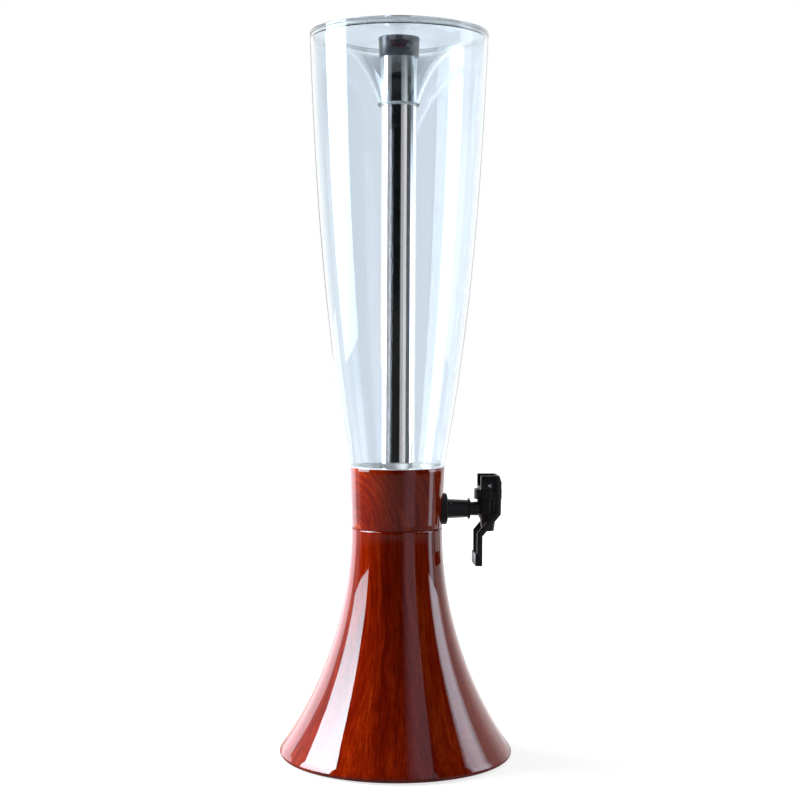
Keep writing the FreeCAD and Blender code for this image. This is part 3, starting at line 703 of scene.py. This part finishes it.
def ice_tube():
    """Steel tube, open at the top, with a round foot."""
    radius, wall, foot_round = 16.0, 0.8, 5.0
    foot, top = 207.5, 637.0
    inside = radius - wall
    centre = (radius - foot_round, foot + foot_round)
    profile = [(0, foot)]
    profile += arc(centre, foot_round, -90, 0, 10)
    profile += [
        (radius, top - CHAMFER), (radius - CHAMFER, top), (inside + CHAMFER, top), (inside, top - CHAMFER),
    ]
    profile += arc(centre, foot_round - wall, 0, -90, 10)
    profile += [(0, foot + wall)]
    return lathe("steel_tube", profile, TUBE_STEPS)


def tube_cap():
    """Push-on cap with a skirt outside the tube, a grooved plug inside it and a shallow dish on top."""
    foot, top, edge = 622.1, 640.7, 0.8
    ceiling = 637.3
    plug, plug_wall, plug_foot = 14.9, 2.2, 628.3
    lower, upper = 17.5, 18.5
    groove, groove_radius = 1.4, 13.65
    dish, dish_border, dish_edge = 0.5, 3.0, 3.6
    profile = [
        (0, ceiling), (plug - plug_wall, ceiling), (plug - plug_wall, plug_foot), (plug, plug_foot),
        (plug, plug_foot + groove), (groove_radius, plug_foot + groove),
        (groove_radius, plug_foot + 2 * groove), (plug, plug_foot + 2 * groove), (plug, ceiling),
        (GRIP_BORE, ceiling), (GRIP_BORE, foot), (lower - CHAMFER, foot), (lower, foot + CHAMFER),
    ]
    profile += arc((upper - edge, top - edge), edge, 4, 90, 8)
    profile += [(upper - dish_border, top), (upper - dish_edge, top - dish), (0, top - dish)]
    return lathe("cap_shell", profile, TUBE_STEPS)


# Tap. The profiles of the pieces along the shank are loops of (radius, reach).

def outer_washer():
    """Thick washer whose back is cut to the collar's cone."""
    radius, edge = 14.0, 1.6
    bore_start, rim_start = 38.0, 36.0
    cone_half, clearance = 25, 0.1
    profile = [(SHANK_HOLE, bore_start), (radius, rim_start)]
    profile += arc((radius - edge, WASHER_FACE - edge), edge, 0, 90, 8)
    profile += [(SHANK_HOLE, WASHER_FACE)]
    washer = lathe("washer_pad", profile, TAP_STEPS, along_shank, TAP)
    slope = (COLLAR_HEAD - COLLAR_FOOT) / (COLLAR_TOP - SEAM)
    low, high = TAP - cone_half, TAP + cone_half
    back = lathe("cutter", [
        (0, low), (COLLAR_FOOT + slope * (low - SEAM) + clearance, low),
        (COLLAR_FOOT + slope * (high - SEAM) + clearance, high), (0, high)], BACK_STEPS)
    return joined(washer, [back], "DIFFERENCE")


def shank():
    """Threaded tube through the vessel, with a sleeve, an end ring and a socket for the tap's neck."""
    bore, crest, root, pitch, run_in, run_out = 3.8, 8.0, 7.3, 1.8, 0.5, 0.2
    start, face, ring_end = 21.5, WASHER_FACE, SHANK_END
    tip_reach, tip, sleeve = 63.9, 7.8, 8.7
    ring, ring_edge = 9.4, 0.5
    socket, socket_foot = 5.7, 52.7
    turn_of_thread = ((root, 0.0), (crest, 0.35), (crest, 0.5), (root, 0.85))
    profile = [(bore, start), (root, start)]
    reach = start + run_in
    while reach + pitch < face:
        profile += [(radius, reach + share * pitch) for radius, share in turn_of_thread]
        reach += pitch
    profile += [
        (root, face - run_out), (sleeve - CHAMFER, face), (sleeve, face + CHAMFER), (tip, tip_reach),
        (ring - ring_edge, tip_reach), (ring, tip_reach + ring_edge), (ring, ring_end - ring_edge),
        (ring - ring_edge, ring_end), (socket, ring_end), (socket, socket_foot), (bore, socket_foot),
    ]
    return lathe("shank_tube", profile, TAP_STEPS, along_shank, TAP)


def tap_barrel():
    """Outside of the upright valve body, with its spout below and its thread on top."""
    radius, shoulder, foot, top, thread = 9.85, 230.0, 215.8, 234.6, 9.4
    spout_root, spout_root_height = 7.0, 212.0
    spout_tip, spout_foot = 5.7, 201.1
    edge = 1.5
    profile = [
        (0, spout_foot), (spout_tip - CHAMFER, spout_foot), (spout_tip, spout_foot + CHAMFER),
        (spout_root - 0.1, spout_root_height - 0.6), (spout_root + 0.35, spout_root_height + 0.5),
    ]
    profile += arc((radius - edge, foot + edge), edge, -38, 0, 8)
    profile += [
        (radius, shoulder - CHAMFER), (radius - CHAMFER, shoulder), (thread, shoulder), (thread, top),
        (0, top),
    ]
    return lathe("tap_barrel", profile, TAP_STEPS, upright, VALVE), spout_foot, top


def tap_body():
    """Valve body, spout and neck in one moulding, with the way that the drink takes through them."""
    barrel, spout_foot, top = tap_barrel()
    neck, tail, tail_start, tail_end = 6.15, 5.6, 52.8, 66.0
    neck_pipe = rod("pipe", neck, SHANK_END, VALVE, TAP_STEPS, along_shank, TAP)
    tail_pipe = lathe("tail", [
        (0, tail_start), (tail - CHAMFER, tail_start), (tail, tail_start + CHAMFER), (tail, tail_end),
        (0, tail_end)], TAP_STEPS, along_shank, TAP)
    mouth, outlet, seat, chamber = 4.5, 3.9, 4.8, 7.2
    seat_top, chamber_floor = 214.1, 213.5
    hollow = lathe("hollow", [
        (0, spout_foot - 1), (mouth, spout_foot - 1), (mouth, spout_foot + 1), (outlet, spout_foot + 4),
        (outlet, seat_top), (seat, seat_top), (seat, chamber_floor), (chamber, chamber_floor),
        (chamber, top + 1), (0, top + 1)], TAP_STEPS, upright, VALVE)
    bore, bore_start = 3.4, 50.0
    inlet = rod("bore", bore, bore_start, VALVE, TAP_STEPS, along_shank, TAP)
    barrel = joined(barrel, [neck_pipe, tail_pipe], "UNION")
    return joined(barrel, [hollow, inlet], "DIFFERENCE")


def bonnet():
    """Ring nut on the valve body, with grooves round its side and a gland for the stem's seal."""
    radius, foot, top, edge = 12.55, 230.1, 239.05, 0.6
    thread_bore, ceiling, seal, seal_top, stem_bore = 9.7, 235.1, 4.9, 236.6, 3.26
    grooves, depth, narrowness, steps = 28, 0.35, 4, 12
    margin, ease_out, ease_in = 1.2, 0.1, 0.35      # plain at both ends, then from plain to full depth

    def ribs(here, height, angle):
        on_side = here >= radius - 0.05
        if not on_side or height < foot + margin or height > top - margin:
            return here
        wave = 0.5 - 0.5 * math.cos(grooves * angle)
        return here - depth * (1 - wave) ** narrowness

    profile = [
        (thread_bore, foot), (radius - CHAMFER, foot), (radius, foot + CHAMFER),
        (radius, foot + margin - ease_out), (radius, foot + margin + ease_in),
        (radius, top - margin - ease_in), (radius, top - margin + ease_out),
    ]
    profile += arc((radius - edge, top - edge), edge, 0, 90, 6)
    profile += [
        (stem_bore, top), (stem_bore, seal_top), (seal, seal_top), (seal, ceiling), (thread_bore, ceiling),
    ]
    return lathe("bonnet_ring", profile, grooves * steps, upright, VALVE, ribs)


def lever():
    """Bail: a head that rests on the bonnet, two arms that straddle the valve body, and a cross pad. The
    head is open to the top and to the tower, and slotted for the stem."""
    head_half, arm_inside, arm_thick, round_edge = 14.8, 13.2, 2.4, 0.55
    head_back, head_front, head_foot, head_top = 74.0, 92.4, 239.15, 251.6
    brow, brow_foot = 90.6, 246.0       # the head's front leans back from brow_foot to its top
    arm_back, arm_foot, sunk = 86.8, 171.1, 0.8
    shin_back, shin_front = 70.8, 75.6
    arm = [
        (arm_back, head_foot + sunk), (arm_back, head_top - sunk), (brow, head_top - sunk),
        (head_front, brow_foot), (91.9, 217.2), (shin_front, 197.6), (shin_front, arm_foot),
        (shin_back, arm_foot), (shin_back, 200.6), (arm_back, 219.8),
    ]
    head = prism("lever_bail", [
        (head_back, head_foot), (head_front, head_foot), (head_front, brow_foot), (brow, head_top),
        (head_back, head_top)], -head_half, head_half)
    left = prism("left", arm, arm_inside, arm_inside + arm_thick)
    right = prism("right", arm, -arm_inside - arm_thick, -arm_inside)
    pad = block("pad", (69.5, 72.5), (arm_foot, 181.9), 14.4)
    slot = block("slot", (77.2, 87.0), (head_foot - 1, 248.4), 3.7)
    pocket = block("pocket", (73.0, 88.8), (head_foot + 2.2, head_top + 1), 11.6)
    pin_hole, hole_half = 1.66, 20.0
    hole = rod("hole", pin_hole, -hole_half, hole_half, PIN_STEPS, across, (VALVE, PIN_HEIGHT))
    bail = joined(head, [left, right, pad], "UNION")
    bail = joined(bail, [slot, pocket], "DIFFERENCE")
    bail = bevelled(bail, round_edge, steps=3)
    return joined(bail, [hole], "DIFFERENCE")


def lever_pin():
    """Pin across the lever's head."""
    radius, half = 1.6, 15.1
    profile = [
        (0, -half), (radius - CHAMFER, -half), (radius, -half + CHAMFER), (radius, half - CHAMFER),
        (radius - CHAMFER, half), (0, half),
    ]
    return lathe("pivot_pin", profile, PIN_STEPS, across, (VALVE, PIN_HEIGHT))


def return_spring():
    """Coil that stands on the stem's flange and reaches up to the gland."""
    wire, coil, turns = 0.8, 4.6, 6
    turn_steps, wire_steps = 32, 10
    low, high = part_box("return_spring")
    foot, top = low[2] / MM + wire / 2, high[2] / MM - wire / 2
    count = turns * turn_steps
    vertices, faces = [], []
    for index in range(count + 1):
        angle = FULL_TURN * index / turn_steps
        height = foot + (top - foot) * index / count
        for section in range(wire_steps):
            tilt = FULL_TURN * section / wire_steps
            radius = coil + wire / 2 * math.cos(tilt)
            vertices.append(upright(radius, height + wire / 2 * math.sin(tilt), angle, VALVE))
    for index in range(count):
        here, there = index * wire_steps, (index + 1) * wire_steps
        for section in range(wire_steps):
            after = (section + 1) % wire_steps
            faces.append((here + section, here + after, there + after, there + section))
    faces += [tuple(range(wire_steps)), tuple(range(count * wire_steps, (count + 1) * wire_steps))]
    return piece_from("return_coil", in_metres(vertices), faces)


def seated(spring):
    """Gives the spring its own copy of its mesh. The stem's flange carries it."""
    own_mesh(spring)


wood = materials["wood_finish"]
clear = materials["clear_plastic"]
black = materials["black_plastic"]
dressed(bell(), wood, "root", "wood_finish", "base_shell")
dressed(collar(), collar_wood, "root", "wood_finish", "collar")
for piece, body, node in ((vessel(), "root", "vessel"), (lid(), "lid", "lid")):
    dressed(piece, clear, body, "clear_plastic", node)
    piece.visible_shadow = False    # lamp light passes the clear wall
dressed(ice_tube(), materials["polished_steel"], "ice_tube", "polished_steel", "ice_tube")
dressed(tube_cap(), cap_plastic, "tube_cap", "black_plastic", "tube_cap")
dressed(outer_washer(), materials["black_rubber"], "root", "black_rubber", "tap_washer_outer")
dressed(shank(), black, "root", "black_plastic", "tap_shank")
dressed(tap_body(), black, "root", "black_plastic", "tap_body")
dressed(bonnet(), black, "root", "black_plastic", "bonnet")
dressed(lever(), black, "lever", "black_plastic", "lever")
dressed(lever_pin(), materials["fastener_steel"], "lever", "fastener_steel", "lever_pin")
seated(dressed(return_spring(), materials["fastener_steel"], "stem", "fastener_steel", "return_spring"))


# Floor, light and camera

def sight(nodes):
    """What kind of ray arrives, each as 1 or 0. straight goes to the eye, also through clear pieces.
    mirrored comes off a mirror: shallow in the vessel's near wall, deep further inside. enclosed comes off a
    dull surface inside the vessel. through has passed clear surfaces, and depth counts them."""
    path = nodes.add("ShaderNodeLightPath", {}).outputs
    glossy = nodes.above(path["Glossy Depth"], 0.5)
    scattered = nodes.above(path["Diffuse Depth"], 0.5)
    through = nodes.above(path["Transmission Depth"], 0.5)
    far_through = nodes.above(path["Transmission Depth"], 2.5)
    seen = nodes.math("MAXIMUM", path["Is Camera Ray"], path["Is Transmission Ray"])
    turned = nodes.math("MAXIMUM", glossy, scattered)
    straight = nodes.math("MAXIMUM", nodes.minus(seen, turned), 0.0)
    mirrored = nodes.math("MAXIMUM", nodes.minus(glossy, scattered), 0.0)
    deep = nodes.times(mirrored, far_through)
    shallow = nodes.minus(nodes.times(mirrored, through), deep)
    enclosed = nodes.times(scattered, through)
    return {"straight": straight, "mirrored": mirrored, "shallow": shallow, "deep": deep,
            "enclosed": enclosed, "through": through, "depth": path["Transmission Depth"]}


def backdrop_with_painted_shade(nodes, ray):
    """Colour of the backdrop for straight rays: white to the eye, and cooler with painted shade through clear
    pieces, which draws an edge that is crossed once as a thin grey line and greys the backdrop where many
    walls are crossed."""
    # Painted shade: straight rays through clear pieces see the backdrop grey at edges crossed once and greyer
    # behind many walls.
    edge = nodes.span(ray["depth"], 2.5, 3.5, 0.50, 1.0)
    many = nodes.span(ray["depth"], 4.5, 7.5, 1.0, 0.41)
    dimmed = nodes.times(edge, many)
    tinted_painted_shade = nodes.mix(dimmed, BLACK, (0.875, 0.905, 0.965))
    return nodes.mix(ray["through"], WHITE, tinted_painted_shade)


def toward(nodes, direction, way):
    """How nearly a direction points one way: 1 along it, 0 across it and -1 against it."""
    return nodes.measure("DOT_PRODUCT", direction, way)


def surroundings(nodes, ray, direction):
    """How bright the studio is in a mirror that faces one way: dark behind the camera, pale at the sides and
    bright behind the tower. Mirrors outside clear pieces find the middle of that bright side dimmer. Those
    within them also see a bright ceiling, and in the near wall a little light from all round."""
    darkest = 0.004
    behind = toward(nodes, direction, BACK)
    flank = nodes.span(behind, 0.12, 0.28, 0.0, 0.56)
    outside = nodes.minus(1.0, ray["through"])
    far_zone = nodes.times(outside, nodes.span(behind, 0.93, 0.97, 0.0, 0.80))
    wall = nodes.minus(nodes.span(behind, 0.55, 0.80, 0.0, 0.55), far_zone)
    ceiling = nodes.span(toward(nodes, direction, UP), 0.45, 0.70, 0.0, 0.45)
    inner = nodes.span(ray["depth"], 3.5, 2.5, 0.0, 0.05)
    within = nodes.plus(ceiling, inner)
    level = nodes.plus(nodes.plus(flank, wall), darkest)
    return nodes.plus(level, nodes.times(ray["through"], within))


def floor_glint(nodes, ray, distance, direction):
    """What the floor adds in mirrors: within clear pieces, light from the left, from the right and from
    close round the foot, and outside them a faint veil that fades with the distance."""
    aside = toward(nodes, direction, LEFT)
    near = nodes.span(distance, 1.1, 1.4, 1.0, 0.0)
    sides = nodes.plus(nodes.span(aside, 0.86, 0.97, 0.0, 1.5), nodes.span(aside, -0.97, -0.80, 1.8, 0.0))
    round_foot = nodes.span(distance, 0.35, 0.6, 0.6, 0.0)
    glint = nodes.times(nodes.plus(nodes.times(near, sides), round_foot), ray["through"])
    outside = nodes.minus(1.0, ray["through"])
    veil = nodes.times(outside, nodes.span(distance, 1.7, 2.6, 0.2, 0.0))
    return nodes.plus(glint, veil)


def floor():
    """White floor that keeps the tower's shadow."""
    radius, steps, dull_level = 6.0, 64, 0.16
    turns = [FULL_TURN * index / steps for index in range(steps)]
    vertices = [(radius * math.cos(angle), radius * math.sin(angle), 0.0) for angle in turns]
    disc = piece_from("floor_sweep", vertices, [tuple(range(steps))])
    recipe = Recipe("floor_paper")
    paper = recipe.noise(recipe.place(), 300.0, 3.0, 0.5)
    recipe.set(Base_Color=recipe.mix(paper, (0.44, 0.44, 0.44), (0.46, 0.46, 0.46)))
    spot = recipe.place()
    distance = recipe.measure("LENGTH", spot)
    recipe.set(Roughness=0.9, IOR=1.05, Emission_Color=(*WHITE, 1.0))
    recipe.set(Emission_Strength=recipe.span(distance, 0.5, 2.0, 0.76, 0.98))
    ray = sight(recipe)
    direction = recipe.vector("NORMALIZE", spot)
    glint = floor_glint(recipe, ray, distance, direction)
    level = recipe.times(ray["mirrored"], recipe.plus(surroundings(recipe, ray, direction), glint))
    rest = recipe.times(recipe.minus(1.0, ray["mirrored"]), dull_level)
    glow = recipe.add("ShaderNodeEmission", {"Strength": recipe.plus(level, rest)})
    beyond = recipe.add("ShaderNodeEmission", {"Color": backdrop_with_painted_shade(recipe, ray), "Strength": 1.0})
    lit = recipe.either(ray["through"], recipe.shader.outputs[0], beyond.outputs[0])
    recipe.surface(recipe.either(ray["straight"], glow.outputs[0], lit))
    disc.data.materials.append(recipe.material)
    disc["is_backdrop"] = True


def world():
    """White to the eye, cool and greyed with painted shade through clear pieces, and the studio's own light
    and dark in mirrors.
    """
    studio = bpy.data.worlds.new("studio")
    studio.use_nodes = True
    bpy.context.scene.world = studio
    nodes = Nodes(studio.node_tree)
    background = nodes.tree.nodes["Background"]
    direction = nodes.add("ShaderNodeTexCoord", {}).outputs["Generated"]
    ray = sight(nodes)
    ambient, ambient_inside = 0.19, 4.0
    level = nodes.times(ray["mirrored"], surroundings(nodes, ray, direction))
    rest = nodes.minus(1.0, nodes.plus(ray["straight"], ray["mirrored"]))
    level = nodes.plus(level, nodes.times(rest, ambient))
    level = nodes.plus(level, nodes.times(ray["enclosed"], ambient_inside))
    level = nodes.plus(level, ray["straight"])
    nodes.feed(background.inputs["Strength"], level)
    nodes.feed(background.inputs["Color"], nodes.mix(ray["straight"], WHITE, backdrop_with_painted_shade(nodes, ray)))


def standing(azimuth, distance, foot, top):
    """Place of an upright board that faces the tower. Its azimuth is in degrees, 0 on the camera's side and
    positive to the right of it."""
    angle = CAMERA_AZIMUTH + math.radians(azimuth)
    spot = Vector((distance * math.sin(angle), -distance * math.cos(angle), (foot + top) / 2))
    return Matrix.Translation(spot) @ Matrix.Rotation(angle, 4, "Z") @ Matrix.Rotation(math.pi / 2, 4, "X")


def mirror_board(name, azimuths, distance, heights, outer, deep, colour, soft=(0.0, 0.0), rise=(0.0, 1.0),
                 only_depth=0):
    """Bright board that shows only in reflections, so that it lights nothing else. It spans two azimuths
    and two heights. outer and deep give its strength at the two heights of rise, for mirrors outside and
    deep inside the vessel. Mirrors in the vessel's near wall see a quarter of the lower outer strength, and
    at most 1. soft is the share of its width over which each side fades in. Where only_depth is given, only
    rays that passed that many clear surfaces meet it."""
    start, end = azimuths
    foot, top = heights
    hair = 0.001            # least width of a fade, and least strength that shows
    half = distance * math.tan(math.radians(end - start) / 2)
    tall = (top - foot) / 2
    board = piece_from(name, [(-half, -tall, 0), (half, -tall, 0), (half, tall, 0), (-half, tall, 0)],
                       [(0, 1, 2, 3)])
    board.matrix_world = standing((start + end) / 2, distance, foot, top)
    recipe = Recipe(name)
    ray = sight(recipe)
    height = recipe.parts(recipe.add("ShaderNodeNewGeometry", {}).outputs["Position"])["Z"]
    outside = recipe.minus(ray["mirrored"], recipe.plus(ray["deep"], ray["shallow"]))
    strength = recipe.times(outside, recipe.span(height, *rise, *outer))
    strength = recipe.plus(strength, recipe.times(ray["deep"], recipe.span(height, *rise, *deep)))
    strength = recipe.plus(strength, recipe.times(ray["shallow"], min(1.0, outer[0] / 4)))
    if only_depth:
        enough = recipe.above(ray["depth"], only_depth - 0.5)
        few = recipe.below(ray["depth"], only_depth + 0.5)
        strength = recipe.times(strength, recipe.times(enough, few))
    across_it = recipe.parts(recipe.place())["X"]
    left_fade = recipe.span(across_it, -half, -half * (1 - 2 * soft[0]) + hair)
    right_fade = recipe.span(across_it, half * (1 - 2 * soft[1]) - hair, half, 1.0, 0.0)
    lit = recipe.times(left_fade, right_fade)
    clear_air = recipe.add("ShaderNodeBsdfTransparent", {})
    glow = recipe.add("ShaderNodeEmission", {"Color": (*colour, 1.0), "Strength": strength})
    shown = recipe.times(recipe.above(strength, hair), lit)
    recipe.surface(recipe.either(shown, clear_air.outputs[0], glow.outputs[0]))
    recipe.tree.nodes.remove(recipe.shader)
    board.data.materials.append(recipe.material)
    board.visible_camera = False
    board.visible_diffuse = False
    board.visible_shadow = False
    board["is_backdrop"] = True


def soft_box(name, azimuth, distance, width, foot, top, radiance):
    """Broad soft lamp that shows in no reflection."""
    data = bpy.data.lights.new(name, "AREA")
    data.shape = "RECTANGLE"
    data.size = width
    data.size_y = top - foot
    data.energy = radiance * math.pi * width * (top - foot)
    light = bpy.data.objects.new(name, data)
    light.matrix_world = standing(azimuth, distance, foot, top)
    light.visible_camera = False
    light.visible_glossy = False
    light.visible_transmission = False
    bpy.context.scene.collection.objects.link(light)


def lights():
    """Boards for the bands that the lacquer, the vessel and the steel tube reflect, and three lamps."""
    blue_white, lavender, cool = (0.76, 1.0, 1.12), (0.92, 0.97, 1.08), (0.90, 0.96, 1.10)
    warm, violet = (1.10, 1.0, 0.97), (1.05, 0.88, 1.10)
    hidden = (0.0, 0.0)
    full, deep_span = (0.18, 2.4), (0.0, 1.2)
    mirror_board("left_board", (-105, -69), 1.0, full, (6.5, 16.5), hidden, blue_white, rise=(0.2, 0.65))
    mirror_board("left_deep", (-105, -78), 1.05, deep_span, hidden, (9.0, 20.0), lavender,
                 rise=(0.40, 0.70))
    mirror_board("left_back", (-78, -58), 1.05, deep_span, hidden, (11.0, 9.0), lavender, only_depth=6)
    mirror_board("left_edge", (-165, -120), 1.2, (0.0, 0.30), (2.6, 2.6), (1.2, 1.2), lavender)
    mirror_board("right_board", (80, 109), 1.0, full, (4.4, 3.0), (3.2, 0.35), cool, soft=(0.2, 0.3),
                 rise=(0.5, 0.7))
    mirror_board("right_foot", (84, 99), 1.0, (0.03, 0.18), (2.2, 2.2), (4.2, 4.2), cool, soft=(0.3, 0.2))
    mirror_board("front_wall", (12, 46), 1.0, (0.0, 1.6), (0.52, 0.52), hidden, violet, soft=(0.45, 0.05))
    # These are for the steel tube, and shine only in mirrors deep inside the vessel.
    fade = (0.76, 0.86)
    mirror_board("tube_left", (-137, -104), 1.3, deep_span, hidden, (1.8, 0.8), WHITE, rise=fade)
    mirror_board("tube_shade_a", (-79, -62), 1.3, deep_span, hidden, (0.52, 0.45), warm, rise=fade)
    mirror_board("tube_shade_b", (-63, -44), 1.3, deep_span, hidden, (0.38, 0.25), warm, soft=(0.0, 0.3),
                 rise=fade)
    mirror_board("tube_front_a", (14, 34), 1.25, deep_span, hidden, (0.58, 0.20), warm, soft=(0.2, 0.0),
                 rise=fade)
    mirror_board("tube_front_b", (33, 54), 1.25, deep_span, hidden, (1.00, 0.25), warm, rise=fade)
    mirror_board("tube_right", (106, 137), 1.3, deep_span, hidden, (1.9, 0.3), WHITE, rise=fade)
    mirror_board("tube_gap", (54, 80), 1.3, deep_span, hidden, (0.08, 0.05), WHITE, rise=fade)
    soft_box("left_lamp", azimuth=-102.0, distance=1.8, width=1.2, foot=0.2, top=2.4, radiance=13.2)
    soft_box("back_lamp", azimuth=150.0, distance=2.0, width=1.2, foot=0.2, top=2.4, radiance=2.0)
    soft_box("right_lamp", azimuth=108.0, distance=1.8, width=0.8, foot=0.2, top=2.0, radiance=2.4)


def camera():
    """The photograph's viewpoint."""
    data = bpy.data.cameras.new("camera")
    data.sensor_width = SENSOR
    data.lens = LENS
    eye = bpy.data.objects.new("camera", data)
    turn = Matrix.Rotation(CAMERA_AZIMUTH - CAMERA_YAW, 4, "Z")
    tilt = Matrix.Rotation(math.pi / 2 - CAMERA_PITCH, 4, "X")
    roll = Matrix.Rotation(CAMERA_ROLL, 4, "Z")
    spot = Vector((math.sin(CAMERA_AZIMUTH), -math.cos(CAMERA_AZIMUTH), 0)) * CAMERA_DISTANCE * MM
    spot.z = CAMERA_HEIGHT * MM
    eye.matrix_world = Matrix.Translation(spot) @ turn @ tilt @ roll
    bpy.context.scene.collection.objects.link(eye)
    bpy.context.scene.camera = eye


floor()
world()
lights()
camera()
bpy.context.scene.view_settings.view_transform = "Standard"

plain = [[[float(value) for value in corner] for corner in box] for box in (cad_box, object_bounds())]
